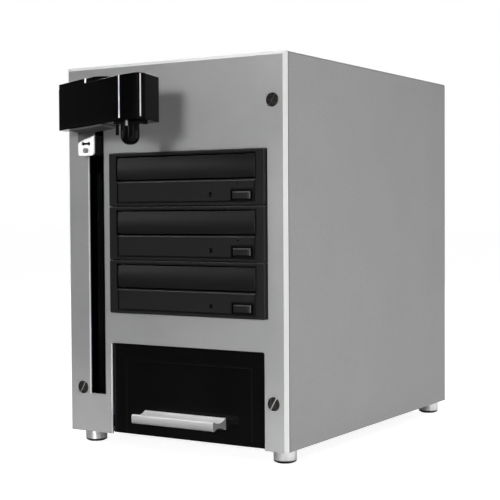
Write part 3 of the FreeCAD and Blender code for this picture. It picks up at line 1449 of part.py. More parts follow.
def make_fan():
    """The rear fan: a square frame with struts, and a rotor with pitched blades."""
    depth = "dim.fan_d"
    start = f"({REAR_Y} - dim.rear_t - {depth})"
    frame = body("fan_frame", x=FAN_X, y=start, z=FAN_Z)
    pad(frame, FACE, "0", depth, around("0", "0", "dim.fan_w", "dim.fan_w"), circle("0", "0", "dim.fan_bore"))
    reach = size("dim.fan_w / 2")
    fillet(frame, "dim.fan_corner", lambda edge: along(edge, 1) and close(abs(middle(edge).x), reach))
    hub_y = f"({depth} - dim.fan_hub_d)"
    pad(frame, FACE, hub_y, "dim.fan_hub_d", circle("0", "0", "dim.fan_hub_r"))
    strut = pad(frame, FACE, hub_y, "dim.fan_hub_d",
                rect("-dim.fan_strut / 2", "dim.fan_hub_r - 1", "dim.fan_strut / 2", "dim.fan_bore + 1"))
    repeat(frame, strut, "Y_Axis", "3")
    cut(frame, FACE, hub_y, "dim.fan_hub_d", circle("0", "0", "dim.fan_axle_r + dim.run_fit"))

    rotor = body("fan_rotor", x=FAN_X, y=start, z=FAN_Z)
    front = "((dim.fan_d - dim.fan_hub_d - dim.blade_d) / 2)"
    pad(rotor, FACE, front, "dim.blade_d", circle("0", "0", "dim.fan_hub_r"))
    blade = pad(rotor, SIDE, "dim.fan_hub_r - 1", "dim.blade_r - dim.fan_hub_r + 1", [
        (front, "-dim.blade_rise / 2"),
        (f"{front} + dim.blade_t", "-dim.blade_rise / 2"),
        (f"{front} + dim.blade_d", "dim.blade_rise / 2"),
        (f"{front} + dim.blade_d - dim.blade_t", "dim.blade_rise / 2"),
    ])
    repeat(rotor, blade, "Y_Axis", "dim.blade_count")
    pad(rotor, FACE, f"{front} + dim.blade_d", f"{hub_y} + dim.fan_hub_d - {front} - dim.blade_d",
        circle("0", "0", "dim.fan_axle_r"))


def make_rear_sockets():
    """The power inlet, the rocker switch and the data socket."""
    inlet = body("power_inlet", x=INLET_X, y=REAR_Y, z="dim.inlet_z")
    pad(inlet, FACE, "0", "dim.inlet_flange_t", around("0", "0", "dim.inlet_w", "dim.inlet_h"))
    pad(inlet, FACE, "-dim.inlet_depth", "dim.inlet_depth",
        around("0", "0", "dim.inlet_body_w", "dim.inlet_body_h"))
    half = "(dim.socket_w / 2)"
    rise = "(dim.socket_h / 2)"
    mouth = [
        (f"-{half}", f"-{rise}"),
        (half, f"-{rise}"),
        (half, f"{rise} - dim.socket_corner"),
        (f"{half} - dim.socket_corner", rise),
        (f"-{half} + dim.socket_corner", rise),
        (f"-{half}", f"{rise} - dim.socket_corner"),
    ]
    floor = "(dim.inlet_flange_t - dim.socket_depth)"
    cut(inlet, FACE, floor, "dim.socket_depth", mouth)
    pad(inlet, FACE, floor, "dim.socket_depth - dim.pin_sunk",
        around("-dim.pin_spread", "-dim.pin_rise", "dim.pin_w", "dim.pin_h"),
        around("dim.pin_spread", "-dim.pin_rise", "dim.pin_w", "dim.pin_h"),
        around("0", "dim.pin_rise", "dim.pin_w", "dim.pin_h"))

    frame = body("switch_frame", x=SWITCH_X, y=REAR_Y, z="dim.inlet_z")
    rim = "2 * dim.switch_rim"
    wall = "2 * dim.switch_wall"
    pad(frame, FACE, "0", "dim.switch_rim",
        around("0", "0", f"dim.switch_w + {rim}", f"dim.switch_h + {rim}"),
        around("0", "0", f"dim.switch_w - {wall}", f"dim.switch_h - {wall}"))
    pad(frame, FACE, "-dim.switch_depth", "dim.switch_depth",
        around("0", "0", "dim.switch_w", "dim.switch_h"))
    cut(frame, FACE, "dim.switch_wall - dim.switch_depth", "dim.switch_depth",
        around("0", "0", f"dim.switch_w - {wall}", f"dim.switch_h - {wall}"))
    cut(frame, SIDE, "-dim.switch_w", "2 * dim.switch_w",
        circle("-dim.rocker_r / 2", "0", "dim.rocker_pin_r + dim.run_fit"))

    rocker = body("power_rocker", x=SWITCH_X, y=f"({REAR_Y} - dim.rocker_r / 2)", z="dim.inlet_z")
    reach = "(dim.switch_h / 2 - dim.switch_wall - 2 * dim.rocker_gap)"
    wide = "(dim.switch_w - 2 * (dim.switch_wall + dim.rocker_gap))"
    pad(rocker, SIDE, f"-{wide} / 2", wide, [
        ("dim.rocker_r / 2 + dim.switch_rim", "0"),
        (f"dim.rocker_r / 2 + dim.switch_rim + {reach} * tan(dim.rocker_angle)", reach),
        ("0", f"{reach} - dim.rocker_gap"),
        ("-dim.rocker_r / 4", "0"),
        ("0", f"-{reach} + dim.rocker_gap"),
        (f"dim.rocker_r / 2 + dim.switch_rim + {reach} * tan(dim.rocker_angle)", f"-{reach}"),
    ])
    pad(rocker, SIDE, "-dim.switch_w / 2", "dim.switch_w", circle("0", "0", "dim.rocker_pin_r"))
    tilt = FreeCAD.Rotation(FreeCAD.Vector(1, 0, 0), size("dim.rocker_angle"))
    rocker.Placement = FreeCAD.Placement(rocker.Placement.Base, tilt)

    usb = body("usb_port", x=USB_X, y=REAR_Y, z="dim.inlet_z")
    pad(usb, FACE, "-dim.usb_depth", "dim.usb_depth + dim.usb_proud",
        around("0", "0", "dim.usb_w", "dim.usb_h"))
    cut(usb, FACE, "dim.usb_wall - dim.usb_depth", "dim.usb_depth + dim.usb_proud",
        around("0", "0", "dim.usb_w - 2 * dim.usb_wall", "dim.usb_h - 2 * dim.usb_wall"))
    pad(usb, FACE, "dim.usb_wall - dim.usb_depth", "dim.usb_depth - dim.usb_wall - dim.usb_tongue_sunk",
        around("0", "0", "dim.usb_tongue_w", "dim.usb_tongue_h"))


def make_all():
    """Every piece of the autoloader."""
    make_front_panel()
    make_front_screws()
    make_panel_brackets()
    make_wrap_cover()
    make_base_plate()
    make_rear_panel()
    make_rear_screws()
    make_feet()
    make_drive_cage()
    for number in range(1, DRIVE_COUNT + 1):
        make_drive_bezel(number)
        make_drive_case(number)
        make_drive_tray(number)
        make_tray_door(number)
        make_eject_button(number)
    make_drive_leds()
    make_drawer()
    make_drawer_rails()
    make_lift_column()
    make_lift_drive()
    make_carriage()
    make_arm()
    make_arm_bracket()
    make_gripper()
    make_power_supply()
    make_controller_board()
    make_fan()
    make_rear_sockets()
    doc.recompute()


def check_all():
    """Stop if any object failed or any piece has no sound solid."""
    for item in doc.Objects:
        if "Invalid" in item.State or "Error" in item.State:
            raise RuntimeError(f"{item.Label} is {item.State}")
    for piece in pieces:
        if piece.Shape.isNull() or not piece.Shape.isValid() or not piece.Shape.Solids:
            raise RuntimeError(f"{piece.Label} has no valid solid")


make_all()
check_all()
os.makedirs("parts", exist_ok=True)
for piece in pieces:
    piece.Shape.exportStep(f"parts/{piece.Label}.step")
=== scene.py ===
"""Looks for the disc duplicator autoloader: its finishes, the studio light and the camera."""

import json
import math

import bmesh
import bpy
from mathutils import Matrix, Vector


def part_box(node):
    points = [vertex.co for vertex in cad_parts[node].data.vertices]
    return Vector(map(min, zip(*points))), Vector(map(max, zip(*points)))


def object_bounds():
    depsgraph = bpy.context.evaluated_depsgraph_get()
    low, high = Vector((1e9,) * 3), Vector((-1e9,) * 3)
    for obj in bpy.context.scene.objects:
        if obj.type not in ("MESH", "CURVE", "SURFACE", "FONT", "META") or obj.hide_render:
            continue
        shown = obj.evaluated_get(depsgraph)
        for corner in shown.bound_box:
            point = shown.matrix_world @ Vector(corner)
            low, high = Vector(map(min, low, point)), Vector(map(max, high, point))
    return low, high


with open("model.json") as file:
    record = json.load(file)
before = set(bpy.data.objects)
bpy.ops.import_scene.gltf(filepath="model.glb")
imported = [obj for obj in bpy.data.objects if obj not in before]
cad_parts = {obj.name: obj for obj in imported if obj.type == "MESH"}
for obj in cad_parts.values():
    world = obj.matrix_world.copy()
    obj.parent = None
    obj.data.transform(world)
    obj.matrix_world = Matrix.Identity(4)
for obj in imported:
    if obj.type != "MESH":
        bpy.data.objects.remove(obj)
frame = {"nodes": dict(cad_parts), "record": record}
cad_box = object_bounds()
nodes = frame["nodes"]

scene = bpy.context.scene
scene.view_settings.view_transform = "Standard"

# Axes of a vector and sockets of a mix node, by number
X, Y, Z = 0, 1, 2
SHARE, NUMBER_A, NUMBER_B, COLOUR_A, COLOUR_B = 0, 2, 3, 6, 7
NUMBER_OUT, COLOUR_OUT = 0, 2

# Limits between which a noise is spread, for a lively and for a calm surface
LIVELY = (0.35, 0.65)
CALM = (0.3, 0.7)

# Limits of a normal's part along an axis: a wall square to the front, a slope and a face that looks up
WALL = (0.3, 0.5)
SLOPE = (0.3, 0.6)
UPWARD = (0.85, 0.95)

# Lengths in metres: the round that softens an edge, the depth of a grain and the fade of a painted line
EDGE_ROUND = 0.0003
GRAIN_DEPTH = 0.0002
FADE = 0.0003

# Numbers of the drives, buttons and gripper fingers
THREE = (1, 2, 3)


# Colours

def even(value):
    """A neutral colour from a linear value."""
    return (value, value, value, 1.0)


def grey(level, warmth=0.0):
    """A neutral colour from a display level of 0 to 255 by the sRGB curve, a little warm where asked."""
    value = level / 255.0
    linear = value / 12.92 if value <= 0.04045 else ((value + 0.055) / 1.055) ** 2.4
    return (linear * (1.0 + warmth), linear, linear * (1.0 - warmth), 1.0)


def scaled(colour, factor):
    """A colour made lighter or darker."""
    return tuple(min(1.0, part * factor) for part in colour[:3]) + (1.0,)


# Node helpers

def feed(tree, socket, value):
    """Gives an input a constant or another node's output."""
    if isinstance(value, bpy.types.NodeSocket):
        tree.links.new(value, socket)
    else:
        socket.default_value = value


def add(tree, kind, inputs=None, **props):
    """A node with its properties and its inputs."""
    node = tree.nodes.new(kind)
    for key, value in props.items():
        setattr(node, key, value)
    for key, value in (inputs or {}).items():
        feed(tree, node.inputs[key], value)
    return node


def start(name):
    """A new material with its output and its shader."""
    mat = bpy.data.materials.new(name)
    mat.use_nodes = True
    tree = mat.node_tree
    tree.nodes.clear()
    out = tree.nodes.new("ShaderNodeOutputMaterial")
    shader = tree.nodes.new("ShaderNodeBsdfPrincipled")
    tree.links.new(shader.outputs["BSDF"], out.inputs["Surface"])
    return mat, tree, shader


def coordinates(tree):
    """A point's place and the way it faces, in the frame of its object."""
    coords = add(tree, "ShaderNodeTexCoord")
    return coords.outputs["Object"], coords.outputs["Normal"]


def split(tree, vector):
    """The three parts of a vector."""
    return add(tree, "ShaderNodeSeparateXYZ", {0: vector}).outputs


def stretched(tree, place, scale):
    """A place scaled along its axes, which draws a noise out into lines."""
    return add(tree, "ShaderNodeMapping", {"Vector": place, "Scale": scale}).outputs[0]


def maths(tree, operation, first, *rest):
    """An operation on one value, or worked through a row of them."""
    for value in rest or (0.0,):
        first = add(tree, "ShaderNodeMath", {0: first, 1: value}, operation=operation).outputs[0]
    return first


def dot(tree, first, second):
    """How nearly two directions agree."""
    node = add(tree, "ShaderNodeVectorMath", {0: first, 1: second}, operation="DOT_PRODUCT")
    return node.outputs["Value"]


def spread(tree, value, low, high, to_low, to_high):
    """A value moved from one range to another and held inside it."""
    node = add(tree, "ShaderNodeMapRange", {0: value, 1: low, 2: high, 3: to_low, 4: to_high})
    return node.outputs[0]


def rises(tree, value, low, high):
    """A mask that is empty below one value and full above another."""
    return spread(tree, value, low, high, 0.0, 1.0)


def falls(tree, value, low, high):
    """A mask that is full below one value and empty above another."""
    return spread(tree, value, low, high, 1.0, 0.0)


def between(tree, share, empty, full):
    """A number that goes from one to another as a mask fills."""
    return spread(tree, share, 0.0, 1.0, empty, full)


def blend_colour(tree, share, first, second, mode="MIX"):
    """A colour between two others."""
    inputs = {SHARE: share, COLOUR_A: first, COLOUR_B: second}
    return add(tree, "ShaderNodeMix", inputs, data_type="RGBA", blend_type=mode).outputs[COLOUR_OUT]


def noise(tree, place, scale, detail=3.0, rough=0.55):
    """Cloudy noise at a number of grains to the metre."""
    inputs = {"Vector": place, "Scale": scale, "Detail": detail, "Roughness": rough}
    return add(tree, "ShaderNodeTexNoise", inputs).outputs[0]


def grains(tree, place, scale, detail=3.0):
    """A crisper noise, for the grain of a surface."""
    return noise(tree, place, scale, detail, 0.6)


def mixed(tree, coarse, fine, fine_share):
    """A coarse and a fine noise added by their shares."""
    weighed = maths(tree, "MULTIPLY", coarse, 1.0 - fine_share)
    return maths(tree, "ADD", weighed, maths(tree, "MULTIPLY", fine, fine_share))


def mottled(tree, cloud, dark, light, limits=LIVELY):
    """A colour that drifts between two others with a noise."""
    return blend_colour(tree, rises(tree, cloud, *limits), dark, light)


def varied(tree, cloud, low, high):
    """A number that drifts between two others with a noise."""
    return spread(tree, cloud, *CALM, low, high)


def behind(tree, place, front):
    """How far a point lies behind a plane that faces the front."""
    return maths(tree, "SUBTRACT", split(tree, place)[Y], front)


def inside(tree, place, low, high):
    """How far a point lies inside the sides and the top of a box, seen from the front."""
    axes = split(tree, place)
    from_left = maths(tree, "SUBTRACT", axes[X], low.x)
    from_right = maths(tree, "SUBTRACT", high.x, axes[X])
    from_top = maths(tree, "SUBTRACT", high.z, axes[Z])
    return maths(tree, "MINIMUM", from_left, from_right, from_top)


def softened(tree, radius=EDGE_ROUND, samples=4):
    """Normals that turn smoothly over a sharp edge."""
    return add(tree, "ShaderNodeBevel", {"Radius": radius}, samples=samples).outputs[0]


def edge_turn(tree, soft):
    """How nearly the softened normal agrees with the true one: least at an edge."""
    return dot(tree, soft, add(tree, "ShaderNodeNewGeometry").outputs["Normal"])


def dress(tree, shader, tone, gloss, height, bump, soft, depth=GRAIN_DEPTH, metallic=0.0, specular=0.5):
    """Ends a finish: its colour, roughness, metal and shine, and a bump over its softened edges."""
    inputs = {"Strength": bump, "Distance": depth, "Height": height}
    if soft is not None:
        inputs["Normal"] = soft
    bumped = add(tree, "ShaderNodeBump", inputs).outputs[0]
    feed(tree, shader.inputs["Base Color"], tone)
    feed(tree, shader.inputs["Roughness"], gloss)
    feed(tree, shader.inputs["Normal"], bumped)
    feed(tree, shader.inputs["Metallic"], metallic)
    feed(tree, shader.inputs["Specular IOR Level"], specular)


# The general finish

def shade_bordered(tree, place, tone, low, high, margin, sill_highlight=None, hollow=False):
    """A tone with a dark border of painted shade round a box, seen from the front, and where asked a pale
    sill of painted highlight under it. A hollow border leaves the box itself as it was."""
    gap_shade_tone = grey(4)
    sill_highlight_tone = grey(78)
    sill_overlap = 0.0004
    axes = split(tree, place)
    outside = {}
    for axis in (X, Z):
        before = maths(tree, "SUBTRACT", low[axis], axes[axis])
        beyond = maths(tree, "SUBTRACT", axes[axis], high[axis])
        outside[axis] = maths(tree, "MAXIMUM", before, beyond)
    off = maths(tree, "MAXIMUM", outside[X], outside[Z])
    # Painted highlight: a pale sill strip under the box.
    if sill_highlight is not None:
        under = maths(tree, "SUBTRACT", low[Z] - margin, axes[Z])
        strip = maths(tree, "MULTIPLY",
                      falls(tree, under, sill_highlight, sill_highlight + FADE),
                      rises(tree, under, -sill_overlap, 0.0),
                      falls(tree, outside[X], 0.0, FADE))
        tone = blend_colour(tree, strip, tone, sill_highlight_tone)
    # Painted shade: a dark ring round the box, for the shade in its gap.
    gap_shade_ring = falls(tree, off, margin, margin + FADE)
    if hollow:
        gap_shade_ring = maths(tree, "MULTIPLY", gap_shade_ring, rises(tree, off, -FADE, 0.0))
    return blend_colour(tree, gap_shade_ring, tone, gap_shade_tone)


def surface(name, colour, rough, metallic=0.0, specular=0.5, mottle=(60.0, 0.06), grain=(1800.0, 0.06),
            stretch=(1.0, 1.0, 1.0), rough_spread=0.06, bevel=EDGE_ROUND, edge_wear_and_light=None, recess_shade=None,
            shaded_walls=None, tilt_light_and_shade=(), gap_shade_borders=()):
    """A finish with drifting tone, fine grain and softened edges. Mottle and grain are each a number of
    grains to the metre and a strength. Where asked, it has edges of another colour (their share and
    colour), which is wear on some finishes and a painted highlight on others, painted shade in recesses
    (the front, two depths behind it and the share of the colour that they keep), painted shade on walls
    square to the front, which keep a share of the colour, painted highlight and painted shade on the faces
    that look up, and dark borders of painted shade in gaps."""
    mat, tree, shader = start(name)
    place, turn = coordinates(tree)
    faces = split(tree, turn)
    drift = noise(tree, place, mottle[0], detail=4.0)
    fine = grains(tree, stretched(tree, place, stretch), grain[0])
    both = mixed(tree, drift, fine, fine_share=0.3)
    tone = mottled(tree, both, scaled(colour, 1.0 - mottle[1]), scaled(colour, 1.0 + mottle[1]))
    gloss = varied(tree, both, max(0.02, rough - rough_spread), min(1.0, rough + rough_spread))
    soft = softened(tree, bevel)
    # Edges take another colour: wear on some finishes, a painted highlight on others.
    if edge_wear_and_light:
        share, edge_colour = edge_wear_and_light
        edge_limits = (0.995, 0.9)
        patch_limits = (0.4, 0.6)
        patch_least = 0.3
        edge = spread(tree, edge_turn(tree, soft), *edge_limits, 0.0, share)
        blotches = noise(tree, place, 260.0, detail=5.0, rough=0.65)
        patches = spread(tree, blotches, *patch_limits, patch_least, 1.0)
        tone = blend_colour(tree, maths(tree, "MULTIPLY", edge, patches), tone, edge_colour)
    # Painted shade: recesses darken with depth behind the front.
    if recess_shade:
        front, near, far, keep = recess_shade
        recess_shade_mask = rises(tree, behind(tree, place, front), near, far)
        tone = blend_colour(tree, recess_shade_mask, tone, scaled(colour, keep))
    # Painted shade: walls square to the front are darkened.
    if shaded_walls is not None:
        wall_shade = falls(tree, maths(tree, "ABSOLUTE", faces[Y]), *WALL)
        tone = blend_colour(tree, wall_shade, tone, scaled(colour, shaded_walls))
    # Painted highlight and painted shade on faces, by how far they look up.
    for limits, tilt_tone in tilt_light_and_shade:
        tone = blend_colour(tree, rises(tree, faces[Z], *limits), tone, tilt_tone)
    # Painted shade in gaps: dark borders round boxes, with a painted highlight on a sill.
    for gap_shade_border in gap_shade_borders:
        tone = shade_bordered(tree, place, tone, **gap_shade_border)
    dress(tree, shader, tone, gloss, fine, bump=grain[1], soft=soft, metallic=metallic, specular=specular)
    return mat


# Finishes that need more than the general one

def panel_finish():
    """Bead-blasted, clear anodised aluminium whose bevels and openings are cut bright at the front, with
    painted shade on the bevels and deeper inside the openings.
    """
    mat, tree, shader = start("panel_metal")
    place, turn = coordinates(tree)
    low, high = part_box("front_panel")
    faces = split(tree, turn)
    plain = (0.80, 0.92)
    cut_wall = (0.1, 0.3)
    bevel_lean = (0.4, 0.6)
    shade_depth = (0.0017, 0.0020)
    outer_rim = (0.0055, 0.0065)
    fine = grains(tree, place, 2600.0, detail=2.0)
    both = mixed(tree, noise(tree, place, 22.0), fine, fine_share=0.5)
    tone = mottled(tree, both, grey(158), grey(170))
    ahead = maths(tree, "ABSOLUTE", faces[Y])
    cut = falls(tree, ahead, *plain)
    tone = blend_colour(tree, cut, tone, grey(246))
    # Painted shade on the bevels, darker on the one that faces right than on the top one.
    aslant = maths(tree, "MULTIPLY", rises(tree, ahead, *WALL), cut)
    for axis, level in ((X, 188), (Z, 214)):
        bevel_shade = maths(tree, "MULTIPLY", aslant, rises(tree, faces[axis], *bevel_lean))
        tone = blend_colour(tree, bevel_shade, tone, grey(level))
    # Painted shade: the walls of the openings go dark behind the bright cut at the front, but not at the
    # outer rim.
    deep_shade = maths(tree, "MULTIPLY",
                 rises(tree, behind(tree, place, low.y), *shade_depth),
                 falls(tree, ahead, *cut_wall),
                 rises(tree, inside(tree, place, low, high), *outer_rim))
    tone = blend_colour(tree, deep_shade, tone, grey(26))
    gloss = maths(tree, "ADD", varied(tree, fine, 0.44, 0.58), maths(tree, "MULTIPLY", cut, 0.10))
    dress(tree, shader, tone, gloss, fine, bump=between(tree, cut, 0.10, 0.0),
          soft=softened(tree, radius=0.00025), metallic=between(tree, cut, 0.25, 0.0))
    return mat


def foot_finish():
    """Metal turned on a lathe: fine rings up its height, over a dark base."""
    mat, tree, shader = start("foot_metal")
    place, _ = coordinates(tree)
    colour = grey(218)
    base_height = (0.0019, 0.0026)
    ring_depth = 0.0001
    rings = stretched(tree, place, (40.0, 40.0, 5200.0))
    lines = noise(tree, rings, 1.0, detail=2.0, rough=0.5)
    tone = mottled(tree, lines, scaled(colour, 0.86), scaled(colour, 1.06), CALM)
    tone = blend_colour(tree, falls(tree, split(tree, place)[Z], *base_height), tone, grey(44))
    gloss = varied(tree, noise(tree, place, 150.0), 0.28, 0.33)
    dress(tree, shader, tone, gloss, lines, bump=0.07, soft=softened(tree), depth=ring_depth, metallic=0.62)
    return mat


def sheet_finish():
    """Zinc-dipped sheet with soft spangle and rolling marks."""
    mat, tree, shader = start("sheet_steel")
    place, _ = coordinates(tree)
    colour = grey(176)
    cells = add(tree, "ShaderNodeTexVoronoi", {"Vector": place, "Scale": 150.0, "Randomness": 1.0})
    spangle = add(tree, "ShaderNodeSeparateColor", {0: cells.outputs["Color"]}).outputs[0]
    fine = grains(tree, place, 1500.0)
    both = mixed(tree, spangle, fine, fine_share=0.4)
    tone = blend_colour(tree, both, scaled(colour, 0.86), scaled(colour, 1.1))
    gloss = between(tree, both, 0.35, 0.51)
    dress(tree, shader, tone, gloss, fine, bump=0.05, soft=softened(tree), metallic=0.75)
    return mat


def board_finish():
    """A circuit board: green lacquer over copper runs, with tinned pads."""
    mat, tree, shader = start("board_green")
    place, _ = coordinates(tree)
    pad_tin = (0.45, 0.43, 0.36, 1.0)
    pad_size = (0.16, 0.2)
    pad_depth = 0.0001
    runs = add(tree, "ShaderNodeTexBrick", {
        "Vector": place,
        "Scale": 190.0,
        "Mortar Size": 0.02,
        "Color1": (0.010, 0.075, 0.030, 1.0),
        "Color2": (0.014, 0.105, 0.042, 1.0),
        "Mortar": (0.030, 0.190, 0.075, 1.0),
    })
    spots = add(tree, "ShaderNodeTexVoronoi", {"Vector": place, "Scale": 330.0, "Randomness": 0.35})
    pads = falls(tree, spots.outputs["Distance"], *pad_size)
    tone = blend_colour(tree, pads, runs.outputs["Color"], pad_tin)
    gloss = varied(tree, noise(tree, place, 400.0), 0.28, 0.42)
    dress(tree, shader, tone, gloss, pads, bump=0.2, soft=None, depth=pad_depth)
    return mat


def cover_finish():
    """Silver paint on folded sheet, with painted shade in a line at its front end and along its top bends.
    """
    mat, tree, shader = start("cover_paint")
    place, turn = coordinates(tree)
    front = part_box("wrap_cover")[0].y
    bend_from = (0.05, 0.3)
    bend_to = (0.7, 0.95)
    seam_depth = (0.0008, 0.0016)
    fine = grains(tree, place, 1500.0)
    both = mixed(tree, noise(tree, place, 18.0), fine, fine_share=0.8)
    tone = mottled(tree, both, grey(131), grey(145))
    rise = split(tree, turn)[Z]
    # Painted shade along the top bends and at the front end.
    bend_shade = maths(tree, "MULTIPLY", rises(tree, rise, *bend_from), falls(tree, rise, *bend_to))
    seam_shade = falls(tree, behind(tree, place, front), *seam_depth)
    tone = blend_colour(tree, maths(tree, "MAXIMUM", bend_shade, seam_shade), tone, grey(112))
    gloss = varied(tree, both, 0.46, 0.56)
    dress(tree, shader, tone, gloss, fine, bump=0.07, soft=softened(tree), metallic=0.05, specular=0.3)
    return mat


def screw_finish():
    """A browned screw head whose slot carries a painted highlight, dimmed by painted shade on the upper
    screws.
    """
    mat, tree, shader = start("browned_screw")
    place, _ = coordinates(tree)
    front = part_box("front_screws")[0].y
    slot_depth = 0.0013
    slot_from = 0.55 * slot_depth
    slot_to = 0.75 * slot_depth
    warmth = 0.06
    upper_painted_light = (0.15, 0.2)
    arm_shade_share = 0.12
    fine = grains(tree, place, 2400.0)
    drift = noise(tree, place, 420.0, detail=4.0)
    tone = mottled(tree, drift, grey(30, warmth), grey(66, warmth))
    # Painted highlight in the slot, with painted shade from the arm on the upper screws.
    slot_highlight = rises(tree, behind(tree, place, front), slot_from, slot_to)
    arm_shade = spread(tree, split(tree, place)[Z], *upper_painted_light, 1.0, arm_shade_share)
    tone = blend_colour(tree, maths(tree, "MULTIPLY", slot_highlight, arm_shade), tone, grey(205))
    gloss = varied(tree, fine, 0.26, 0.42)
    dress(tree, shader, tone, gloss, fine, bump=0.08, soft=softened(tree, radius=0.0002), metallic=0.5)
    return mat


def arm_finish(name, ridge_highlight=None, limits=None, colour=None, window=None):
    """Gloss black moulding. A ridge, given by the way it faces and how nearly, takes a painted highlight,
    and a window keeps that to a stretch, given by its middle and its half."""
    mat, tree, shader = start(name)
    place, turn = coordinates(tree)
    window_fade = 0.0005
    drift = noise(tree, place, 25.0, detail=4.0)
    tone = mottled(tree, drift, grey(7), grey(10))
    # Painted highlight along the ridge.
    if ridge_highlight:
        highlight_line = rises(tree, dot(tree, turn, ridge_highlight), *limits)
        if window:
            middle, half = window
            off = maths(tree, "ABSOLUTE", maths(tree, "SUBTRACT", split(tree, place)[X], middle))
            highlight_line = maths(tree, "MULTIPLY", highlight_line, falls(tree, off, half, half + window_fade))
        tone = blend_colour(tree, highlight_line, tone, colour)
    gloss = varied(tree, drift, 0.11, 0.16)
    fine = grains(tree, place, 420.0)
    dress(tree, shader, tone, gloss, fine, bump=0.005, soft=softened(tree, radius=0.0005), specular=0.012)
    return mat


def plate_finish():
    """Zinc plate, bright below a slanting edge, with painted shade above it and on its flange, and darker
    underneath with painted shade.
    """
    mat, tree, shader = start("zinc_plate")
    place, turn = coordinates(tree)
    low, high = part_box("arm_bracket")
    shade_edge_drop = 0.0095
    shade_edge_slope = 0.32
    shade_edge_fade = 0.0004
    flange_drop = (0.0030, 0.0036)
    underside = (-0.4, -0.7)
    axes = split(tree, place)
    across = maths(tree, "SUBTRACT", axes[X], low.x)
    drop = maths(tree, "SUBTRACT", high.z, axes[Z])
    # Painted shade above a slanting edge and on the flange.
    edge = maths(tree, "SUBTRACT", shade_edge_drop, maths(tree, "MULTIPLY", across, shade_edge_slope))
    past = maths(tree, "SUBTRACT", drop, edge)
    below = rises(tree, past, -shade_edge_fade, shade_edge_fade)
    out_of_shade = maths(tree, "MULTIPLY", below, rises(tree, drop, *flange_drop))
    # Painted shade on faces that look down.
    above = falls(tree, split(tree, turn)[Z], *underside)
    polish = maths(tree, "MULTIPLY", out_of_shade, above)
    drift = noise(tree, place, 170.0, detail=4.0)
    fine = grains(tree, place, 1400.0)
    shaded_tone = mottled(tree, drift, grey(90), grey(100))
    bright = mottled(tree, drift, grey(240), grey(250))
    tone = blend_colour(tree, above, grey(70), blend_colour(tree, out_of_shade, shaded_tone, bright))
    gloss = maths(tree, "ADD", varied(tree, fine, 0.22, 0.28), between(tree, polish, 0.45, 0.0))
    dress(tree, shader, tone, gloss, fine, bump=0.03, soft=softened(tree),
          metallic=between(tree, polish, 0.0, 0.55), specular=0.2)
    return mat


def acrylic_finish():
    """Smoked acrylic, nearly black, through which the bin's front faintly shows as a frame."""
    mat, tree, shader = start("smoked_acrylic")
    place, _ = coordinates(tree)
    low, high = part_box("drawer_front")
    bin_inset = 0.013
    line_half = (0.0003, 0.0009)
    off = maths(tree, "ABSOLUTE", maths(tree, "SUBTRACT", inside(tree, place, low, high), bin_inset))
    drift = noise(tree, place, 30.0)
    tone = mottled(tree, drift, grey(8), grey(12), CALM)
    tone = blend_colour(tree, falls(tree, off, *line_half), tone, grey(17))
    gloss = varied(tree, drift, 0.06, 0.12)
    fine = noise(tree, place, 240.0)
    dress(tree, shader, tone, gloss, fine, bump=0.012, soft=softened(tree, radius=0.0004), specular=0.18)
    return mat


def button_finish():
    """Satin black button, with painted highlight at its right end and upper edge, and painted shade on its
    walls.
    """
    mat, tree, shader = start("button_black")
    place, turn = coordinates(tree)
    low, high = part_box("eject_button_1")
    pale_from = low.x + 0.72 * (high.x - low.x)
    pale_to = low.x + 0.9 * (high.x - low.x)
    faces = split(tree, turn)
    fine = grains(tree, place, 3000.0)
    tone = mottled(tree, fine, grey(23), grey(27))
    # Painted highlight at the right end.
    right_end_painted_light = rises(tree, split(tree, place)[X], pale_from, pale_to)
    tone = blend_colour(tree, right_end_painted_light, tone, grey(62))
    # Painted shade on walls square to the front.
    wall_shade = falls(tree, maths(tree, "ABSOLUTE", faces[Y]), *WALL)
    tone = blend_colour(tree, wall_shade, tone, grey(6))
    # Painted highlight along the upper edge.
    upper_painted_light = maths(tree, "MULTIPLY", rises(tree, faces[Z], *SLOPE), falls(tree, faces[Z], *UPWARD))
    tone = blend_colour(tree, upper_painted_light, tone, grey(92))
    gloss = varied(tree, fine, 0.32, 0.4)
    dress(tree, shader, tone, gloss, fine, bump=0.1, soft=softened(tree), specular=0.4)
    return mat


def handle_finish():
    """Aluminium bar brushed along its length, with painted highlight on its edges and upper side, and
    painted shade on its right end and low on its lip.
    """
    mat, tree, shader = start("handle_metal")
    place, turn = coordinates(tree)
    low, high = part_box("drawer_handle")
    faces = split(tree, turn)
    lip_rise = (0.15, 0.75)
    lip_foot = (0.0, 0.12)
    upper_painted_light = (0.25, 0.7)
    right_end_painted_light = (0.6, 0.9)
    streak_share = 0.35
    edge_limits = (0.99, 0.9)
    edge_share = 0.75
    brush = grains(tree, stretched(tree, place, (45.0, 4200.0, 4200.0)), 1.0)
    rise = rises(tree, split(tree, place)[Z], low.z, high.z)
    # Painted light and shade on the lip: paler up it, painted shade low on it.
    lip_light_and_shade = blend_colour(tree, rises(tree, rise, *lip_rise), grey(125), grey(171))
    lip_light_and_shade = blend_colour(tree, falls(tree, rise, *lip_foot), lip_light_and_shade, grey(104))
    # Painted highlight on faces that look up, painted shade on the right end.
    tone = blend_colour(tree, rises(tree, faces[Z], *upper_painted_light), lip_light_and_shade, grey(240))
    tone = blend_colour(tree, rises(tree, faces[X], *right_end_painted_light), tone, grey(120))
    streaks = mottled(tree, brush, grey(96), grey(250), CALM)
    tone = blend_colour(tree, streak_share, tone, streaks, "OVERLAY")
    soft = softened(tree, radius=0.0006, samples=6)
    # Painted highlight along the edges.
    edge = spread(tree, edge_turn(tree, soft), *edge_limits, 0.0, edge_share)
    tone = blend_colour(tree, edge, tone, grey(238))
    gloss = varied(tree, brush, 0.34, 0.46)
    dress(tree, shader, tone, gloss, brush, bump=0.12, soft=soft, metallic=0.12)
    return mat


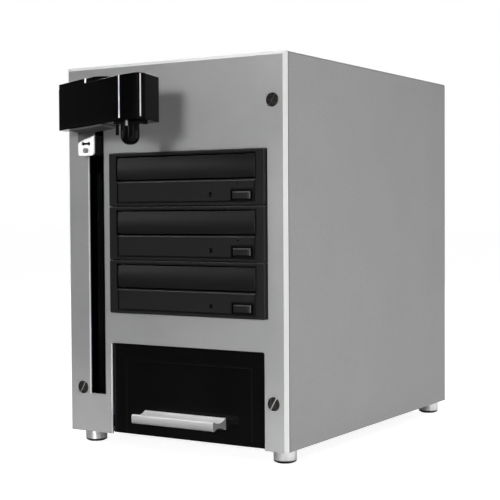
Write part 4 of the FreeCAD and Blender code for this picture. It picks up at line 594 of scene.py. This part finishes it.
bezel_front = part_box("drive_bezel_1")[0].y
door_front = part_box("tray_door_1")[0].y


def bezel_finish(number):
    """Satin black moulding, with painted highlight along its rims, dark painted shade round its door, its
    button and its groove, and a pale sill of painted highlight under its door.
    """
    button_half = Vector((0.008, 0.0, 0.0028))
    groove_side = 0.0007
    groove_rise = 0.0035
    button_low, button_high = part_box(f"eject_button_{number}")
    button_mid = (button_low + button_high) / 2
    door_low, door_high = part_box(f"tray_door_{number}")
    groove_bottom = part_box(f"drive_bezel_{number}")[0].z + groove_rise
    groove_low = Vector((door_low.x + groove_side, 0.0, groove_bottom))
    groove_high = Vector((door_high.x - groove_side, 0.0, door_low.z))
    # Painted shade in the gaps round the groove, the button and the door, with a painted highlight on the
    # door's sill.
    gap_shade_borders = (
        {"low": groove_low, "high": groove_high, "margin": 0.0011, "hollow": True},
        {"low": button_mid - button_half, "high": button_mid + button_half, "margin": 0.0024},
        {"low": door_low, "high": door_high, "margin": 0.0015, "sill_highlight": 0.0007},
    )
    # Painted highlight on edges and slopes, painted shade in recesses, on walls and on flat tops.
    return surface(f"bezel_plastic_{number}", grey(27), rough=0.5, specular=0.3, mottle=(90.0, 0.08),
                   grain=(3000.0, 0.22), edge_wear_and_light=(0.15, grey(50)), recess_shade=(bezel_front, 0.0005, 0.0014, 0.05),
                   shaded_walls=0.12, tilt_light_and_shade=(((0.35, 0.6), grey(64)), (UPWARD, grey(9))), gap_shade_borders=gap_shade_borders)


# The finish of each material slot, but for that of the bezels, which have one each
looks = {
    "panel_metal": panel_finish(),
    "cover_paint": cover_finish(),
    "sheet_steel": sheet_finish(),
    # Painted highlight on the edges of the dark steel.
    "dark_steel": surface("dark_steel", grey(62), rough=0.28, metallic=0.9, mottle=(300.0, 0.12),
                          grain=(2400.0, 0.05), edge_wear_and_light=(0.9, grey(210))),
    "foot_metal": foot_finish(),
    "pad_rubber": surface("pad_rubber", grey(30), rough=0.8, specular=0.3, mottle=(200.0, 0.2),
                          grain=(1600.0, 0.3)),
    # Painted highlight on edges and slopes, painted shade in recesses, on walls and on flat tops.
    "door_plastic": surface("door_plastic", grey(20), rough=0.36, mottle=(40.0, 0.03), grain=(3000.0, 0.08),
                            rough_spread=0.015, edge_wear_and_light=(0.15, grey(50)),
                            recess_shade=(door_front, 0.0011, 0.0018, 0.05), shaded_walls=0.1,
                            tilt_light_and_shade=((SLOPE, grey(58)), (UPWARD, grey(6)))),
    "lamp_plastic": surface("lamp_plastic", grey(6), rough=0.3, specular=0.2, mottle=(800.0, 0.2),
                            grain=(900.0, 0.05)),
    "tray_plastic": surface("tray_plastic", grey(38), rough=0.52, specular=0.35, mottle=(80.0, 0.1),
                            grain=(2600.0, 0.18), edge_wear_and_light=(0.3, grey(70))),
    "smoked_acrylic": acrylic_finish(),
    "bin_paint": surface("bin_paint", grey(44), rough=0.55, specular=0.35, mottle=(60.0, 0.08),
                         grain=(1300.0, 0.2), edge_wear_and_light=(0.4, grey(120))),
    "handle_metal": handle_finish(),
    "arm_plastic": arm_finish("arm_plastic"),
    "black_plastic": surface("black_plastic", grey(26), rough=0.4, specular=0.4, mottle=(90.0, 0.1),
                             grain=(2400.0, 0.14), edge_wear_and_light=(0.25, grey(60))),
    "zinc_plate": plate_finish(),
    "screw_chrome": surface("screw_chrome", grey(190), rough=0.16, metallic=1.0, mottle=(400.0, 0.06),
                            grain=(2600.0, 0.04)),
    "rod_chrome": surface("rod_chrome", grey(120), rough=0.18, metallic=1.0, mottle=(200.0, 0.08),
                          grain=(1.0, 0.06), stretch=(2600.0, 2600.0, 60.0)),
    "bush_bronze": surface("bush_bronze", (0.38, 0.24, 0.10, 1.0), rough=0.38, metallic=1.0,
                           mottle=(320.0, 0.15), grain=(2200.0, 0.2)),
    "belt_rubber": surface("belt_rubber", grey(10), rough=0.75, specular=0.15, mottle=(300.0, 0.15),
                           grain=(1500.0, 0.25)),
    "pulley_metal": surface("pulley_metal", grey(200), rough=0.3, metallic=1.0, mottle=(250.0, 0.06),
                            grain=(2200.0, 0.1)),
    "motor_paint": surface("motor_paint", grey(34), rough=0.45, specular=0.4, mottle=(120.0, 0.1),
                           grain=(1500.0, 0.2), edge_wear_and_light=(0.4, grey(130))),
    "board_green": board_finish(),
    "socket_metal": surface("socket_metal", grey(205), rough=0.3, metallic=1.0, mottle=(300.0, 0.06),
                            grain=(2200.0, 0.06)),
}

# Pieces whose finish differs from that of their slot
# Painted shade: the parts inside the slot are made near black.
slot_shade_black = surface("slot_shade_black_steel", grey(6), rough=0.6, specular=0.1, mottle=(120.0, 0.2),
                    grain=(1600.0, 0.15))
gripper_black = surface("gripper_black", grey(9), rough=0.09, specular=0.04, mottle=(90.0, 0.1),
                        grain=(900.0, 0.01), rough_spread=0.02)
finger_steel = surface("finger_steel", grey(40), rough=0.4, metallic=0.9, mottle=(400.0, 0.08),
                       grain=(2400.0, 0.05))
button_black = button_finish()
plate_screw = surface("plate_screw", grey(150), rough=0.45, metallic=0.1, mottle=(500.0, 0.05),
                      grain=(2400.0, 0.05), bevel=0.0008, edge_wear_and_light=(1.0, grey(16)))
seam_way = (0.29, -0.956, 0.0)
seam_limits = (0.76, 0.84)
corner_way = (0.766, -0.643, 0.0)
corner_limits = (0.994, 0.998)
step_window = (-0.043, 0.003)
special = {
    "lift_column": slot_shade_black,
    "guide_rods": slot_shade_black,
    "panel_brackets": slot_shade_black,
    "carriage": slot_shade_black,
    "front_screws": screw_finish(),
    "arm_base": looks["arm_plastic"],
    # Painted highlights on the arm: along the seam, the nose's corner and the lid's step.
    "arm_housing": arm_finish("arm_seam_highlight", seam_way, seam_limits, grey(238)),
    "arm_nose": arm_finish("arm_corner_highlight", corner_way, corner_limits, grey(190)),
    "arm_lid": arm_finish("arm_step_highlight", seam_way, seam_limits, grey(245), step_window),
    "gripper_hub": gripper_black,
    "arm_screws": plate_screw,
    "disc_sensor_pin": gripper_black,
}
for number in THREE:
    special[f"gripper_finger_{number}"] = finger_steel
    special[f"eject_button_{number}"] = button_black
    special[f"drive_bezel_{number}"] = bezel_finish(number)

for part in frame["record"]["subparts"]:
    look = special.get(part["node"]) or looks[part["material_slot"]]
    mesh = nodes[part["node"]].data
    mesh.materials.clear()
    mesh.materials.append(look)


# Floor and sky

def floor_finish():
    """A pale matt table that reads as white to the camera and keeps the object's shadow. Mirrored in the
    object it is white beyond it and to its right, and dim elsewhere."""
    mat, tree, shader = start("pale_floor")
    place, _ = coordinates(tree)
    far_back = (0.2, 0.8)
    far_right = (cad_box[1].x, cad_box[1].x + 0.02)
    glow = 0.88
    path = add(tree, "ShaderNodeLightPath").outputs
    axes = split(tree, place)
    far = maths(tree, "MAXIMUM", rises(tree, axes[Y], *far_back), rises(tree, axes[X], *far_right))
    mirrored = maths(tree, "MULTIPLY", path["Is Glossy Ray"], far)
    seen = maths(tree, "MAXIMUM", path["Is Camera Ray"], path["Is Transmission Ray"], mirrored)
    dim = maths(tree, "MULTIPLY", path["Is Glossy Ray"], maths(tree, "SUBTRACT", 1.0, far))
    tone = blend_colour(tree, noise(tree, place, 6.0), even(0.44), even(0.48))
    feed(tree, shader.inputs["Base Color"], blend_colour(tree, dim, tone, even(0.05)))
    feed(tree, shader.inputs["Roughness"], 0.9)
    feed(tree, shader.inputs["Specular IOR Level"], 0.1)
    feed(tree, shader.inputs["Emission Color"], even(1.0))
    feed(tree, shader.inputs["Emission Strength"], maths(tree, "MULTIPLY", seen, glow))
    return mat


def studio_sky():
    """White to the camera and where the back is mirrored, and otherwise a dim glow."""
    world = bpy.data.worlds.new("studio")
    world.use_nodes = True
    sky = world.node_tree
    sky.nodes.clear()
    out = sky.nodes.new("ShaderNodeOutputWorld")
    wide = (0.1, 0.9)
    narrow = (0.1, 0.6)
    faint = 0.10
    back_share = 0.5
    least = 0.02
    axes = split(sky, add(sky, "ShaderNodeTexCoord").outputs["Generated"])
    above = spread(sky, axes[Z], *wide, 0.0, faint)
    back = rises(sky, axes[Y], *narrow)
    aside = spread(sky, maths(sky, "ABSOLUTE", axes[X]), *wide, 0.0, faint)
    glow = maths(sky, "MAXIMUM", above, maths(sky, "MULTIPLY", back, back_share), aside, least)
    path = add(sky, "ShaderNodeLightPath").outputs
    mirrored = maths(sky, "MULTIPLY", path["Is Glossy Ray"], back)
    seen = maths(sky, "MAXIMUM", path["Is Camera Ray"], path["Is Transmission Ray"], mirrored)
    level = add(sky, "ShaderNodeMix", {SHARE: seen, NUMBER_A: glow, NUMBER_B: 1.0}).outputs[NUMBER_OUT]
    shader = add(sky, "ShaderNodeBackground", {"Color": even(1.0), "Strength": level})
    sky.links.new(shader.outputs[0], out.inputs["Surface"])
    return world


floor_reach = 14.0
floor_mesh = bpy.data.meshes.new("floor")
floor_build = bmesh.new()
bmesh.ops.create_grid(floor_build, x_segments=2, y_segments=2, size=floor_reach)
floor_build.to_mesh(floor_mesh)
floor_build.free()
floor = bpy.data.objects.new("floor", floor_mesh)
floor_mesh.materials.append(floor_finish())
scene.collection.objects.link(floor)
scene.world = studio_sky()


# Lamps, set round a point on the panel's face

front_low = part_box("front_panel")[0]
aim = Vector((0.0, front_low.y, 0.20))
camera_at = front_low + Vector((0.6639, -0.7811, 0.1798))


def lamp(name, place, target, size, power, beam=180.0, glossy=True, diffuse=True):
    """A soft box that faces a point, with a narrower beam where asked. It can be left out of reflections
    or of the light that matt surfaces take."""
    data = bpy.data.lights.new(name, "AREA")
    data.shape = "RECTANGLE"
    data.size, data.size_y = size
    data.energy = power
    data.spread = math.radians(beam)
    item = bpy.data.objects.new(name, data)
    scene.collection.objects.link(item)
    item.location = place
    item.rotation_euler = (Vector(target) - Vector(place)).to_track_quat("-Z", "Y").to_euler()
    item.visible_glossy = glossy
    item.visible_diffuse = diffuse


def from_aim(right, back, up):
    """A point so many metres from the one that the lamps are set round."""
    return aim + Vector((right, back, up))


# The lamp that throws the arm's shadow, and a sheen from the same place
key_far = 2.1
key_from = aim + key_far * Vector((0.27, -0.95, 0.145)).normalized()

# The lamp whose mirror image the camera sees in the arm's plate
plate_far = 1.5
plate_in = 0.008
plate_up = 0.012
plate_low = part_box("arm_bracket")[0]
plate_spot = Vector((plate_low.x + plate_in, front_low.y, plate_low.z + plate_up))
to_camera = camera_at - plate_spot
mirrored_way = Vector((-to_camera.x, to_camera.y, -to_camera.z)).normalized()

# The lamp that glints on the front left foot
foot_in = 0.013
foot_up = 0.006
foot_spot = Vector((front_low.x + foot_in, front_low.y, foot_up))
foot_from = foot_spot + Vector((0.165, -0.575, 0.02))

lamp("key_light", key_from, from_aim(0.22, 0.0, 0.0), size=(0.28, 0.28), power=1.62, beam=39.0,
     glossy=False)
lamp("side_light", from_aim(0.70, 0.03, -0.16), from_aim(0.10, 0.06, -0.15), size=(0.5, 0.12), power=0.95,
     glossy=False)
lamp("edge_light", from_aim(1.16, -0.29, -0.06), aim, size=(0.4, 0.4), power=6.4, glossy=False)
lamp("low_light", from_aim(-0.03, -0.20, -0.19), from_aim(0.0, 0.0, -0.20), size=(0.45, 0.04), power=0.07,
     beam=45.0, glossy=False)
lamp("top_light", from_aim(0.20, -0.14, 1.15), from_aim(0.05, -0.05, -0.15), size=(0.5, 0.5), power=8.0)
lamp("door_light", from_aim(-1.15, -1.1, 0.40), aim, size=(0.8, 0.6), power=1.35)
lamp("back_light", from_aim(-1.0, 1.5, 0.8), Vector((0.0, 0.0, 0.16)), size=(1.0, 1.0), power=22.0)
lamp("glint_light", from_aim(1.16, -0.35, 0.10), from_aim(0.0, 0.0, 0.05), size=(0.03, 0.3), power=1.2,
     diffuse=False)
lamp("sheen_light", key_from, aim, size=(0.25, 0.25), power=4.5, diffuse=False)
lamp("plate_light", plate_spot + plate_far * mirrored_way, plate_spot, size=(0.12, 0.12), power=0.30,
     diffuse=False)
lamp("foot_light", foot_from, foot_spot, size=(0.22, 0.04), power=0.08, beam=36.0, diffuse=False)

# The camera, solved from the corners of the panel and of the side in the photo
yaw = math.radians(31.872)
pitch = math.radians(1.757)
roll = math.radians(-0.328)
ahead = Vector((-math.sin(yaw) * math.cos(pitch), math.cos(yaw) * math.cos(pitch), -math.sin(pitch)))
level_right = Vector((math.cos(yaw), math.sin(yaw), 0.0))
level_up = level_right.cross(ahead)
right = level_right * math.cos(roll) + level_up * math.sin(roll)
up = level_up * math.cos(roll) - level_right * math.sin(roll)
camera_data = bpy.data.cameras.new("camera")
camera_data.sensor_width = 36.0
camera_data.lens = 87.65
camera_data.clip_start = 0.01
camera_data.clip_end = 100.0
camera = bpy.data.objects.new("camera", camera_data)
scene.collection.objects.link(camera)
turned = Matrix((right, up, -ahead)).transposed().to_4x4()
camera.matrix_world = Matrix.Translation(camera_at) @ turned
scene.camera = camera
